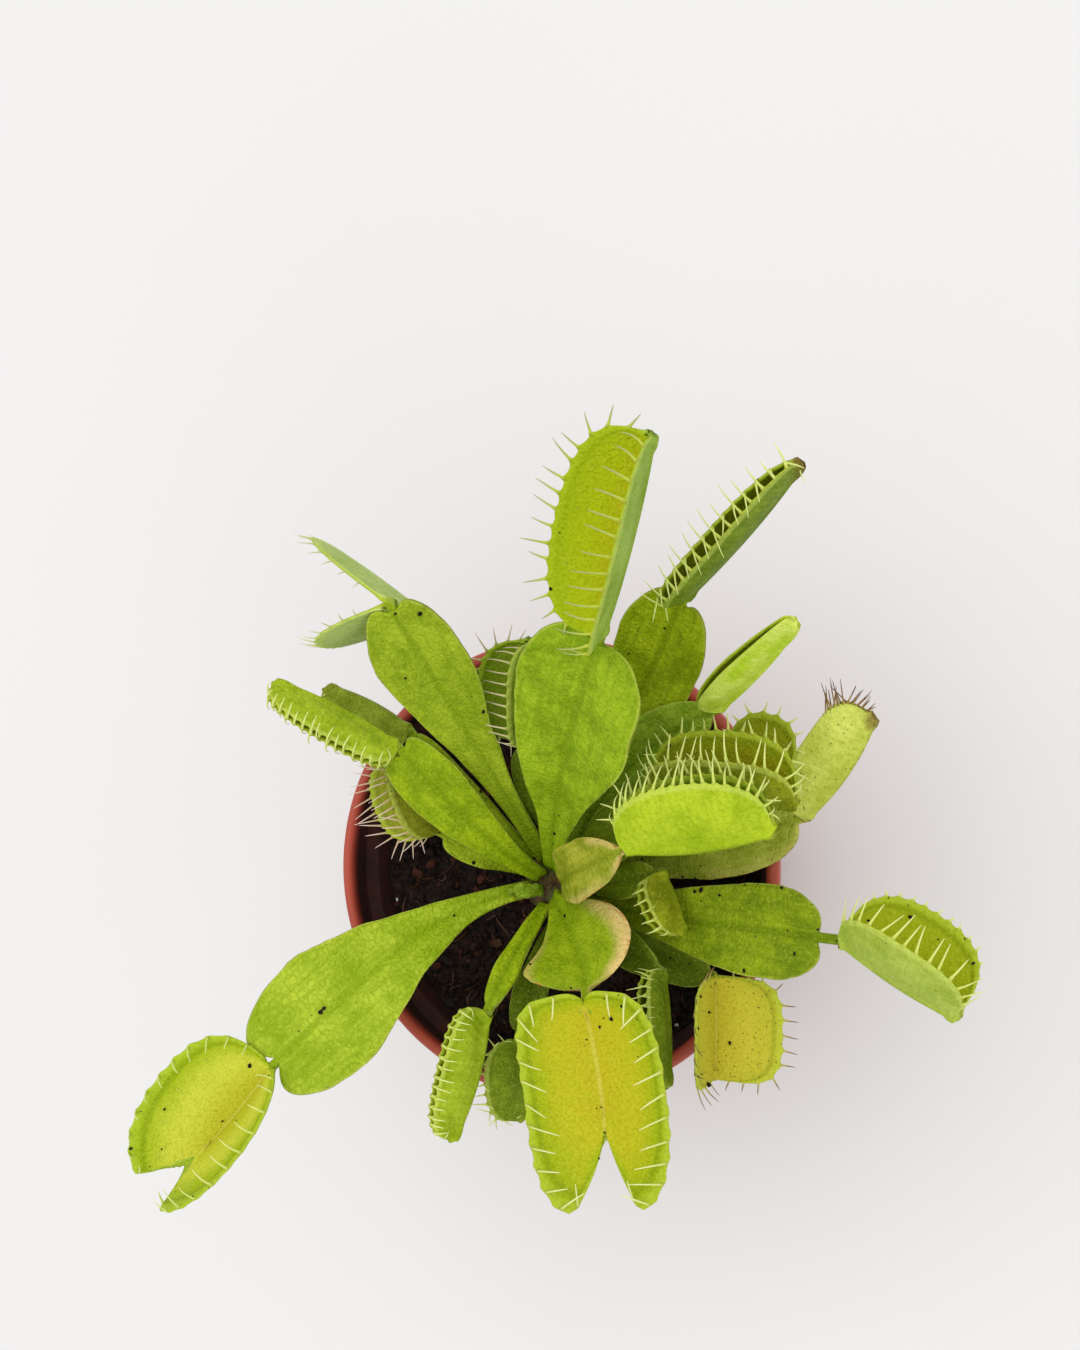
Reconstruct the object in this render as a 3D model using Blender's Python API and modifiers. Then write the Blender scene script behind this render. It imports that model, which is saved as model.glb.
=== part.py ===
"""A potted venus flytrap: nursery pot, peat, rhizome and one node for each leaf. Metres, +Z up, origin at
the centre of the flat base. Sizes below are written in millimetres and turned into metres once, by MM."""

import math

import bmesh
import bpy
import numpy as np

MM = 0.001
GAP = 0.3 * MM  # clearance between pieces that touch

# Pot: turned, tapered, with a collar under the lip and a ring of drain holes.
POT_HEIGHT = 78 * MM
RIM_RADIUS = 45 * MM
COLLAR_HEIGHT = 9 * MM
COLLAR_STEP = 2.2 * MM
FOOT_RADIUS = 31 * MM
WALL = 1.3 * MM
LIP = 2.6 * MM
FLOOR = 1.6 * MM
DRAIN_HOLES = 6
DRAIN_RADIUS = 3.5 * MM
DRAIN_RING = 21 * MM

# Soil: a plug of peat that follows the inside of the pot, slightly mounded round the crown.
SOIL_DEPTH = 11.5 * MM  # below the rim, at the wall
SOIL_MOUND = 1.5 * MM

# Rhizome: the domed crown that the leaves grow from, with one thick root below.
CROWN_X = -1 * MM
CROWN_Y = -3.5 * MM
CROWN_RADIUS = 7 * MM
CROWN_DOME = 4.5 * MM
CROWN_DEPTH = 9 * MM
ROOT_RADIUS = 1.3 * MM
ROOT_DEPTH = 26 * MM

# Leaves start on three rings round the crown: (radius, height above the soil at the crown).
RINGS = {"inner": (2.9 * MM, 5.5 * MM), "middle": (5.0 * MM, 4.0 * MM), "outer": (7.4 * MM, 1.6 * MM)}
LEAF_THICKNESS = 0.8 * MM
NARROWEST = 1.5 * MM  # depth of a lobe at the trap's two ends
HALF_COLUMNS = 3
STALK_ROWS = 6
SHOULDER_ROWS = 5
TRAP_ROWS = 8

TURN_STEPS = 40
CIRCLE = 2 * math.pi

SOIL_TOP = POT_HEIGHT - SOIL_DEPTH
CROWN_BASE = SOIL_TOP + SOIL_MOUND

# What a leaf has unless its own entry says otherwise. Lengths in millimetres, angles in degrees, shares of 1.
# heading, reach and height place the joint of blade and trap: direction and distance from the crown's axis,
# and height above the pot's base. arch lifts the petiole's middle, swing bends it sideways.
USUAL_LEAF = {
    "arch": 14, "archEnd": None, "swing": 0, "swingEnd": None, "ease": 0.36, "easeEnd": 0.36,
    "stalk": 1.7, "half": 6, "widest": 0.68, "wedge": 1.6, "heart": 0.3, "neck": 0.9, "neckLen": 1.5,
    "fold": 12, "wave": 0.6, "phase": 0, "roll": 0,
    "trap": 0, "thead": 0, "pitch": 0, "mouth": 0, "depth": 10, "depth2": None, "over": 0.25, "fore": 0, "sag": 0.06,
    "gape": (30, -16), "gape2": None,
}
# heading: joint direction; thead, pitch: where the trap points; trap, depth: its length and lobe depth;
# mouth: roll of its opening; gape: angle of a lobe from the mouth's axis at midrib and at margin.
LEAVES = {
    "leaf_tall": dict(ring="inner", start=84, heading=59, reach=50, height=128, arch=12, half=12.5,
                      widest=0.74, stalk=2.2, fold=14, trap=38, thead=62, pitch=36, depth=12.5, mouth=-30,
                      gape=(54, 36), gape2=(50, 34), over=0.22, sag=0.03),
    "leaf_dark": dict(ring="outer", start=64, heading=55, reach=62, height=110, arch=-1, half=8, widest=0.82,
                      heart=0.4, trap=35, thead=38, pitch=32, depth=10, mouth=-8, gape=(32, -18)),
    "leaf_horn": dict(ring="middle", start=44, heading=39, reach=51, height=102, arch=17, swing=16, half=6.5,
                      widest=0.62, heart=0.1, trap=24.5, thead=38, pitch=36, depth=7, mouth=-50,
                      gape=(40, -24), fore=0.1),
    "leaf_nest_front": dict(ring="inner", start=-4, heading=17, reach=25.5, height=109, arch=22, half=5.5,
                            widest=0.55, heart=0.1, trap=27, thead=7, pitch=8, depth=13, mouth=-62,
                            gape=(35, 0), gape2=(27, -16)),
    "leaf_nest_back": dict(ring="middle", start=12, heading=31, reach=33, height=101, arch=12, half=5,
                           trap=25, thead=-4, pitch=4, depth=13.5, mouth=-42, gape=(42, 22), gape2=(22, -5)),
    "leaf_nest_far": dict(ring="outer", start=39, heading=31, reach=43, height=89, arch=12, half=5,
                          stalk=1.4, trap=13, thead=-20, pitch=4, depth=13, mouth=-40, gape=(60, 40), gape2=(40, 0)),
    "leaf_nest_low": dict(ring="outer", start=-6, heading=6, reach=26.5, height=90, arch=24, half=3.5,
                          stalk=1.3, trap=10, thead=-65, pitch=0, depth=5.8, mouth=-20, gape=(60, 40)),
    "leaf_burnt": dict(ring="outer", start=16, heading=14, reach=53.5, height=84, arch=4, half=7.5,
                       stalk=1.4, widest=0.7, heart=0.2, trap=23, thead=53, pitch=15, depth=9.5, mouth=-78,
                       gape=(26, 0), gape2=(20, -10)),
    "leaf_right": dict(ring="outer", start=-33, heading=-8, reach=60, height=94, arch=14, half=8, widest=0.66,
                       stalk=1.5, heart=0.2, neckLen=4, trap=23, thead=-32, pitch=5, depth=14, mouth=-48,
                       gape=(62, 40), gape2=(30, 0)),
    "leaf_slim": dict(ring="middle", start=-50, heading=-31, reach=30, height=88, half=3.5, stalk=1.3,
                      trap=20, thead=-86, pitch=6, depth=8.5, mouth=50),
    "leaf_speckled": dict(ring="outer", start=-64, heading=-26, reach=38, height=81, arch=0, half=4.5, stalk=1.4,
                          trap=19, thead=-92, pitch=-6, depth=13, gape=(85, 82), gape2=(12, -5)),
    "leaf_front": dict(ring="inner", start=-70, heading=-56, reach=26, height=99, arch=22, half=9.5,
                       widest=0.74, heart=0.1, neckLen=4, trap=20, thead=-83, pitch=-10, depth=14,
                       gape=(78, 62), over=0.4, fore=0.72),
    "leaf_front_left": dict(ring="middle", start=-112, heading=-108, reach=25, height=90, half=2.5,
                            stalk=1.4, trap=24, thead=-104, pitch=5, depth=9.5, mouth=52),
    "leaf_front_hidden": dict(ring="outer", start=-92, heading=-98, reach=30, height=82, half=3.5,
                              stalk=1.4, trap=15, thead=-89, pitch=-8, depth=9, mouth=40),
    "leaf_long": dict(ring="middle", start=-165, heading=-143.5, reach=57, height=104, arch=16, swing=-28,
                      swingEnd=-8, ease=0.3, easeEnd=0.5, half=12, widest=0.76, wedge=2.4, heart=0.4,
                      neckLen=2, trap=20, thead=-130, pitch=2, depth=16, mouth=6, gape=(46, 34),
                      gape2=(66, 50), fore=0.6, over=0.35),
    "leaf_left_high": dict(ring="inner", start=148, heading=128, reach=33, height=104, arch=22, half=8,
                           widest=0.65, heart=0.25, trap=26, thead=152, pitch=12, depth=9.5, mouth=-62,
                           gape=(30, -8), gape2=(28, -18)),
    "leaf_left_low": dict(ring="outer", start=135, heading=127, reach=37, height=94, half=3, stalk=1.4,
                          trap=18, thead=152, pitch=10, depth=8, mouth=-62),
    "leaf_left_inner": dict(ring="outer", start=160, heading=153, reach=22.5, height=84, half=3.5,
                            stalk=1.4, trap=17, thead=108, pitch=8, depth=13, mouth=-50, gape=(60, 30),
                            gape2=(50, 20)),
    "leaf_upper_left": dict(ring="middle", start=110, heading=106, reach=52.5, height=122, arch=6, swing=-3,
                            half=9, widest=0.78, wedge=2.4, heart=0.35, trap=26, thead=165, pitch=-82,
                            depth=20, depth2=24.5, gape=(38, 30), gape2=(26, 18)),
    "leaf_back": dict(ring="outer", start=91, heading=86, reach=28, height=92, half=5, stalk=1.4,
                      trap=19, thead=82, pitch=22, depth=11, mouth=-20, gape=(60, 35), gape2=(30, -10)),
    "leaf_young": dict(ring="inner", start=210, heading=190, reach=8, height=78, arch=40, half=1.5,
                       stalk=1.1, neck=0.5, heart=0.05),
}

FINISHES = {
    "pot": ((0.33, 0.05, 0.035), 0.42),
    "soil": ((0.02, 0.012, 0.009), 0.95),
    "rhizome": ((0.16, 0.1, 0.04), 0.7),
    "leaf": ((0.3, 0.47, 0.05), 0.45),
}


def clear_scene():
    for obj in list(bpy.data.objects):
        bpy.data.objects.remove(obj)


def collection(name, hidden=False):
    made = bpy.data.collections.new(name)
    bpy.context.scene.collection.children.link(made)
    made.hide_render = hidden
    return made


def material(name):
    colour, roughness = FINISHES[name]
    made = bpy.data.materials.new(name)
    made.use_nodes = True
    shader = made.node_tree.nodes["Principled BSDF"]
    shader.inputs["Base Color"].default_value = (*colour, 1)
    shader.inputs["Roughness"].default_value = roughness
    shader.inputs["Metallic"].default_value = 0
    return made


def add_mesh(name, shape, into, finish):
    """A new object from a bmesh, shaded smooth away from sharp edges."""
    mesh = bpy.data.meshes.new(name)
    shape.to_mesh(mesh)
    shape.free()
    mesh.shade_smooth()
    obj = bpy.data.objects.new(name, mesh)
    into.objects.link(obj)
    if finish:
        obj.data.materials.append(finish)
    return obj


def turned(name, profile, into, finish, centre=(0, 0)):
    """A Screw of the profile's (radius, height) points, which run from the axis over the top to the axis."""
    shape = bmesh.new()
    points = [shape.verts.new((radius, 0, height)) for radius, height in profile]
    for a, b in zip(points, points[1:]):
        shape.edges.new((a, b))
    obj = add_mesh(name, shape, into, finish)
    obj.location = (centre[0], centre[1], 0)
    screw = obj.modifiers.new("turn", "SCREW")
    screw.steps = TURN_STEPS
    screw.render_steps = TURN_STEPS
    screw.use_merge_vertices = True
    screw.merge_threshold = 0.00001
    return obj


def arc(centre, radius, start, end, count):
    """Points on an arc in the profile plane, angles in degrees."""
    angles = [math.radians(start + (end - start) * i / (count - 1)) for i in range(count)]
    return [(centre[0] + radius * math.cos(a), centre[1] + radius * math.sin(a)) for a in angles]


def outer_radius(height):
    """The pot's outer side below its collar, a straight taper."""
    top = RIM_RADIUS - COLLAR_STEP - 1.2 * MM
    share = height / (POT_HEIGHT - COLLAR_HEIGHT)
    return FOOT_RADIUS + (top - FOOT_RADIUS) * share


def inner_radius(height):
    return outer_radius(height) - WALL


def make_pot(into, cutters, finish):
    collar_foot = POT_HEIGHT - COLLAR_HEIGHT
    lip = LIP / 2
    collar_radius = RIM_RADIUS - 0.7 * MM
    profile = [(0, FLOOR), (inner_radius(FLOOR) - 1.5 * MM, FLOOR)]
    profile += [(inner_radius(FLOOR + 1.5 * MM), FLOOR + 1.5 * MM)]
    profile += [(inner_radius(collar_foot), collar_foot + 0.6 * MM)]
    profile += [(collar_radius - WALL - 0.2 * MM, collar_foot + 1.8 * MM)]
    profile += [(RIM_RADIUS - LIP, POT_HEIGHT - 2 * lip)]
    profile += arc((RIM_RADIUS - lip, POT_HEIGHT - lip), lip, 180, 0, 7)
    profile += [(RIM_RADIUS, POT_HEIGHT - 2.2 * lip), (collar_radius, POT_HEIGHT - 2.8 * lip)]
    profile += [(collar_radius - 0.3 * MM, collar_foot + 0.4 * MM), (collar_radius - 0.8 * MM, collar_foot)]
    profile += [(outer_radius(collar_foot), collar_foot), (outer_radius(1 * MM), 1 * MM)]
    profile += [(FOOT_RADIUS - 0.8 * MM, 0), (0, 0)]
    pot = turned("pot", profile, into, finish)
    for number in range(DRAIN_HOLES):
        angle = CIRCLE * number / DRAIN_HOLES
        place = (DRAIN_RING * math.cos(angle), DRAIN_RING * math.sin(angle), FLOOR / 2)
        hole = bmesh.new()
        bmesh.ops.create_cone(hole, cap_ends=True, segments=20, radius1=DRAIN_RADIUS, radius2=DRAIN_RADIUS,
                              depth=4 * FLOOR)
        cutter = add_mesh(f"drain_cutter_{number + 1}", hole, cutters, None)
        cutter.location = place
        cutter.hide_render = True
        cutter.display_type = "WIRE"
        cut = pot.modifiers.new(f"drain_{number + 1}", "BOOLEAN")
        cut.operation = "DIFFERENCE"
        cut.solver = "EXACT"
        cut.object = cutter
    return pot


def rhizome_profile(spread):
    """Dome, bulb and root, grown outwards by spread for the soil's pocket."""
    dome = [(CROWN_RADIUS * math.sin(a), CROWN_BASE + CROWN_DOME * math.cos(a))
            for a in np.linspace(0, math.pi / 2, 6)]
    bulb = [(ROOT_RADIUS + (CROWN_RADIUS - ROOT_RADIUS) * math.cos(a), CROWN_BASE - CROWN_DEPTH * math.sin(a))
            for a in np.linspace(0.35, math.pi / 2, 5)]
    root = [(ROOT_RADIUS * 0.6, CROWN_BASE - ROOT_DEPTH), (0, CROWN_BASE - ROOT_DEPTH - 0.6 * MM)]
    if not spread:
        return dome + bulb + root
    pocket = [(radius + spread, height) for radius, height in bulb]
    pocket[0] = (CROWN_RADIUS + spread, CROWN_BASE - 1.2 * MM)
    pocket.insert(0, (CROWN_RADIUS + spread, CROWN_BASE))
    pocket += [(root[0][0] + spread, root[0][1]), (0, root[1][1] - 2 * spread)]
    return pocket


def make_rhizome(into, finish):
    return turned("rhizome", rhizome_profile(0), into, finish, (CROWN_X, CROWN_Y))


def make_soil(into, cutters, finish):
    """The plug stops a gap short of the pot all round. Its pocket for the rhizome is a turned cutter."""
    wall = SOIL_TOP - 1 * MM
    profile = [(0, CROWN_BASE), (14 * MM, CROWN_BASE - 0.3 * MM), (28 * MM, SOIL_TOP)]
    profile += [(inner_radius(wall) - 2.5 * MM, SOIL_TOP), (inner_radius(wall) - GAP, wall)]
    profile += [(inner_radius(FLOOR + 2.5 * MM) - GAP, FLOOR + 2.5 * MM)]
    profile += [(inner_radius(FLOOR) - 2.4 * MM, FLOOR + GAP), (0, FLOOR + GAP)]
    soil = turned("soil", profile, into, finish)
    pocket = rhizome_profile(GAP)
    pocket = [(0, CROWN_BASE + 6 * MM), (CROWN_RADIUS + GAP, CROWN_BASE + 6 * MM)] + pocket
    cutter = turned("rhizome_pocket_cutter", pocket, cutters, None, (CROWN_X, CROWN_Y))
    cutter.hide_render = True
    cutter.display_type = "WIRE"
    cut = soil.modifiers.new("pocket", "BOOLEAN")
    cut.operation = "DIFFERENCE"
    cut.solver = "EXACT"
    cut.object = cutter
    return soil


def aim(heading, pitch):
    """The unit vector at a compass heading and an upward pitch, in degrees."""
    heading, pitch = math.radians(heading), math.radians(pitch)
    return np.array([math.cos(pitch) * math.cos(heading), math.cos(pitch) * math.sin(heading), math.sin(pitch)])


def unit(vectors):
    return vectors / np.linalg.norm(vectors, axis=-1, keepdims=True)


def signed_power(values, power):
    return np.sign(values) * np.abs(values) ** power


def petiole_spine(leaf):
    """Points every 1/160 of a cubic Bezier from the crown to the joint, with their frames.
    It leaves above the straight line by arch and beside it by swing, and arrives below it."""
    radius, rise = RINGS[leaf["ring"]]
    start = np.array([CROWN_X, CROWN_Y, CROWN_BASE + rise]) + radius * aim(leaf["start"], 0)
    joint = np.array([CROWN_X, CROWN_Y, leaf["height"] * MM]) + leaf["reach"] * MM * aim(leaf["heading"], 0)
    chord = joint - start
    span = np.linalg.norm(chord)
    heading = math.degrees(math.atan2(chord[1], chord[0]))
    pitch = math.degrees(math.asin(chord[2] / span))
    arch_end = leaf["arch"] if leaf["archEnd"] is None else leaf["archEnd"]
    swing_end = leaf["swing"] if leaf["swingEnd"] is None else leaf["swingEnd"]
    leaves_at = heading + leaf["swing"]
    arrives_at = heading - swing_end
    first = start + leaf["ease"] * span * aim(leaves_at, pitch + leaf["arch"])
    second = joint - leaf["easeEnd"] * span * aim(arrives_at, pitch - arch_end)
    t = np.linspace(0, 1, 161)[:, None]
    curve = (1 - t) ** 3 * start + 3 * (1 - t) ** 2 * t * first + 3 * (1 - t) * t ** 2 * second + t ** 3 * joint
    steps = np.linalg.norm(np.diff(curve, axis=0), axis=1)
    travelled = np.concatenate([[0], np.cumsum(steps)])
    share = travelled / travelled[-1]
    turn = np.radians(leaves_at + (arrives_at - leaves_at) * share)
    level = np.stack([-np.sin(turn), np.cos(turn), 0 * turn], -1)
    forward = unit(np.gradient(curve, axis=0))
    side = unit(level - (level * forward).sum(-1, keepdims=True) * forward)
    up = np.cross(forward, side)
    roll = np.radians(leaf["roll"] * share)[:, None]
    rolled_side = side * np.cos(roll) + up * np.sin(roll)
    rolled_up = up * np.cos(roll) - side * np.sin(roll)
    return travelled, curve, forward, rolled_side, rolled_up


def along_spine(travelled, values, distance):
    return np.stack([np.interp(distance, travelled, values[:, i]) for i in range(3)], -1)


def petiole_points(leaf, columns):
    """Rows from the crown to the neck: a wedge up to the widest place, then two rounded shoulders, each half
    an ellipse whose centre stands off the midrib, so that they pass the neck as a heart's do. Also the share
    of the full thickness at each point, which is half at the neck."""
    travelled, curve, forward, side, up = petiole_spine(leaf)
    length = travelled[-1]
    stalk, half, neck = leaf["stalk"] * MM, leaf["half"] * MM, leaf["neck"] * MM
    widest = leaf["widest"] * length
    blade_end = length - leaf["neckLen"] * MM
    rise = np.linspace(0, 1, STALK_ROWS)
    wedge_along = rise * widest
    wedge_across = stalk + (half - stalk) * np.sin(math.pi / 2 * rise ** leaf["wedge"])
    centre = leaf["heart"] * half
    end_angle = math.acos(max(-(centre - neck) / (half - centre), -0.985))
    turn = np.linspace(0, 1, SHOULDER_ROWS + 1)[1:]
    shoulder_along = widest + (blade_end - widest) / math.sin(end_angle) * np.sin(end_angle * turn)
    shoulder_across = centre + (half - centre) * np.cos(end_angle * turn)
    midrib = np.concatenate([wedge_along, widest + (blade_end - widest) * turn ** 1.2, [length]])[:, None]
    edge_along = np.concatenate([wedge_along, shoulder_along, [length]])[:, None]
    edge_across = np.concatenate([wedge_across, shoulder_across, [neck]])[:, None]
    out = np.abs(columns)
    along = midrib + (edge_along - midrib) * out ** 1.5
    across = edge_across * columns
    ripple = np.sin(along / length * CIRCLE * 2.2 + np.sign(columns) * 1.3 + leaf["phase"])
    lift = np.abs(across) * math.tan(math.radians(leaf["fold"])) * (1 - 0.25 * out)
    lift = lift + leaf["wave"] * MM * ripple * out ** 2 * edge_across / half
    inside = np.clip(along, 0, length)
    frame = [along_spine(travelled, values, inside) for values in (curve, forward, side, up)]
    points = frame[0] + (along - inside)[..., None] * unit(frame[1])
    thinned = np.ones_like(across)
    thinned[-1] = 0.5
    return points + across[..., None] * unit(frame[2]) + lift[..., None] * unit(frame[3]), thinned


def trap_points(leaf, columns):
    """Rows from the neck to the trap's tip. A lobe is half an oval set off the midrib and bent along an arc
    whose angle from the mouth's axis turns evenly from midrib to margin. Also the share of the full thickness
    at each point: less where the lobes are shallow, so that their inner faces stay apart."""
    length, depth = leaf["trap"] * MM, leaf["depth"] * MM
    other_side = (leaf["depth2"] or leaf["depth"]) / leaf["depth"]
    joint = np.array([CROWN_X, CROWN_Y, leaf["height"] * MM]) + leaf["reach"] * MM * aim(leaf["heading"], 0)
    neck = 0.6 * MM
    centre = depth * leaf["over"]
    swell = depth - centre
    start_angle = math.asin(min((centre - neck) / swell, 0.97))
    travel = np.linspace(0, 1, TRAP_ROWS + 1)[1:]
    angle = -start_angle + (math.pi + 2 * start_angle) * travel
    reach = length / 2 / math.cos(start_angle)
    edge_along = length / 2 - reach * signed_power(np.cos(angle), 0.85)
    edge_depth = np.maximum(centre + swell * signed_power(np.sin(angle), 0.85), NARROWEST)
    edge_along = edge_along + leaf["fore"] * length * travel ** 2 * np.minimum(1, edge_depth / centre)
    midrib = (length * travel)[:, None]
    out = np.abs(columns)
    along = midrib + (edge_along[:, None] - midrib) * out ** 1.3
    gape, gape2 = leaf["gape"], leaf["gape2"] or leaf["gape"]
    at_midrib = np.radians(np.where(columns < 0, gape2[0], gape[0]))
    at_margin = np.radians(np.where(columns < 0, gape2[1], gape[1]))
    bend = at_margin - at_midrib
    reached = at_midrib + bend * out
    sideways = np.sign(columns) * (np.cos(at_midrib) - np.cos(reached)) / bend
    outwards = (np.sin(reached) - np.sin(at_midrib)) / bend
    sag = -4 * leaf["sag"] * length * (along / length) * (1 - along / length)
    forward = aim(leaf["thead"], leaf["pitch"])
    level = aim(leaf["thead"] + 90, 0)
    lifted = np.cross(forward, level)
    roll = math.radians(leaf["mouth"])
    side = level * math.cos(roll) + lifted * math.sin(roll)
    mouth = lifted * math.cos(roll) - level * math.sin(roll)
    lobe_depth = edge_depth[:, None] * np.where(columns < 0, other_side, 1)
    width = lobe_depth * sideways
    height = lobe_depth * outwards + sag
    thinned = np.minimum(1, 0.2 * lobe_depth / LEAF_THICKNESS) * np.ones_like(width)
    return joint + along[..., None] * forward + width[..., None] * side + height[..., None] * mouth, thinned


def make_leaf(name, into, finish):
    """One grid, rows from crown to trap tip and columns from margin to margin, given a thickness."""
    leaf = USUAL_LEAF | LEAVES[name]
    columns = np.linspace(-1, 1, 2 * HALF_COLUMNS + 1)[None, :]
    points, thinned = petiole_points(leaf, columns)
    if leaf["trap"]:
        trap, trap_thinned = trap_points(leaf, columns)
        points, thinned = np.concatenate([points, trap]), np.concatenate([thinned, trap_thinned])
    rows, across = points.shape[:2]
    shape = bmesh.new()
    bmesh.ops.create_grid(shape, x_segments=across - 1, y_segments=rows - 1, size=0.5)
    shares = []
    for vert in shape.verts:
        column = round((vert.co.x + 0.5) * (across - 1))
        row = round((vert.co.y + 0.5) * (rows - 1))
        vert.co = points[row, column]
        shares.append(float(thinned[row, column]))
    obj = add_mesh(name, shape, into, finish)
    group = obj.vertex_groups.new(name="share")
    for index, share in enumerate(shares):
        group.add([index], share, "REPLACE")
    wall = obj.modifiers.new("thickness", "SOLIDIFY")
    wall.vertex_group = "share"
    wall.thickness = LEAF_THICKNESS
    wall.offset = 0
    return obj


def main():
    clear_scene()
    plant = collection("potted_venus_flytrap")
    cutters = collection("cutters", hidden=True)
    finishes = {name: material(name) for name in FINISHES}
    make_pot(plant, cutters, finishes["pot"])
    make_soil(plant, cutters, finishes["soil"])
    make_rhizome(plant, finishes["rhizome"])
    for name in LEAVES:
        make_leaf(name, plant, finishes["leaf"])


main()
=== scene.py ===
import math

import bpy
import numpy as np
from mathutils import Matrix


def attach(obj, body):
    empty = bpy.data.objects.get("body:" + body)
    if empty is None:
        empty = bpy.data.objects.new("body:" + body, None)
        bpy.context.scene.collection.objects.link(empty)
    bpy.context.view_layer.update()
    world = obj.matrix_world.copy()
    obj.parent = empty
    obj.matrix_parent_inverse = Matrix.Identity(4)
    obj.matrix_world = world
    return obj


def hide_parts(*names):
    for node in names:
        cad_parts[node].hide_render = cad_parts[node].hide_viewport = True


# Potted venus flytrap. Sizes in the dictionaries are millimetres and degrees, and mm turns them into metres.
# +Z is up, the origin is the middle of the pot's underside.

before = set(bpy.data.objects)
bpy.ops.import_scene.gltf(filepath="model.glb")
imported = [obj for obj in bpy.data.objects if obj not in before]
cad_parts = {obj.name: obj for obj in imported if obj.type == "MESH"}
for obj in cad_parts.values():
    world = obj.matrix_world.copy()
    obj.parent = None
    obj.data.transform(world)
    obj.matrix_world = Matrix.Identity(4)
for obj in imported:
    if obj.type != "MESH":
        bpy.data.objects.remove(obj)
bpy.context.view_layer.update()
mm = 0.001
turn = 2 * math.pi
print("frame loaded:", len(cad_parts), "nodes")


# numbers and grids

def unit(vectors):
    return vectors / np.maximum(np.linalg.norm(vectors, axis=-1, keepdims=True), 1e-12)


def aim(heading, pitch):
    # the unit vector at a compass heading and an upward pitch
    heading, pitch = math.radians(heading), math.radians(pitch)
    return np.array([math.cos(pitch) * math.cos(heading), math.cos(pitch) * math.sin(heading), math.sin(pitch)])


def smooth(values, low, high):
    share = np.clip((values - low) / (high - low), 0, 1)
    return share * share * (3 - 2 * share)


def signedPower(values, power):
    return np.sign(values) * np.abs(values) ** power


def bumps(x, y, cell, seed):
    # random heights from -1 to 1 on the corners of square cells, blended with an S-curve inside each cell
    heights = np.random.default_rng(seed).uniform(-1, 1, (64, 64))
    x, y = np.broadcast_arrays(x / cell + 20.5, y / cell + 20.5)
    i, j = np.floor(x).astype(int), np.floor(y).astype(int)
    s, t = x - i, y - j
    s, t = s * s * (3 - 2 * s), t * t * (3 - 2 * t)
    near = heights[i % 64, j % 64] * (1 - s) + heights[(i + 1) % 64, j % 64] * s
    far = heights[i % 64, (j + 1) % 64] * (1 - s) + heights[(i + 1) % 64, (j + 1) % 64] * s
    return near * (1 - t) + far * t


def gridFaces(rows, columns, closed=False):
    # quads between neighbouring rows and columns, the last column joined to the first where closed
    across = columns if closed else columns - 1
    r, c = np.meshgrid(np.arange(rows - 1), np.arange(across), indexing="ij")
    after = (c + 1) % columns
    quads = np.stack([r * columns + c, (r + 1) * columns + c, (r + 1) * columns + after, r * columns + after], -1)
    return quads.reshape(-1, 4).tolist()


def stacked(rings, first, last):
    # a closed skin over rings of points, with a fan to the point first before them and to last after them
    rows, steps = rings.shape[:2]
    faces = gridFaces(rows, steps, closed=True)
    start, end = rows * steps, (rows - 1) * steps
    faces += [(start, c, (c + 1) % steps) for c in range(steps)]
    faces += [(start + 1, end + (c + 1) % steps, end + c) for c in range(steps)]
    return np.concatenate([rings.reshape(-1, 3), [first, last]]), faces


def addMesh(name, points, faces, finish, attributes=None, sharp=None):
    mesh = bpy.data.meshes.new(name)
    mesh.from_pydata(np.asarray(points).tolist(), [], faces)
    for key, values in (attributes or {}).items():
        kind, field = ("FLOAT_VECTOR", "vector") if values.ndim == 2 else ("FLOAT", "value")
        made = mesh.attributes.new(key, kind, "POINT")
        made.data.foreach_set(field, values.astype(np.float32).ravel())
    mesh.shade_smooth()
    if sharp is not None:
        mesh.set_sharp_from_angle(angle=math.radians(sharp))
    mesh.materials.append(finish)
    mesh.update()
    piece = bpy.data.objects.new(name, mesh)
    bpy.context.scene.collection.objects.link(piece)
    return piece


# shader maths

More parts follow.
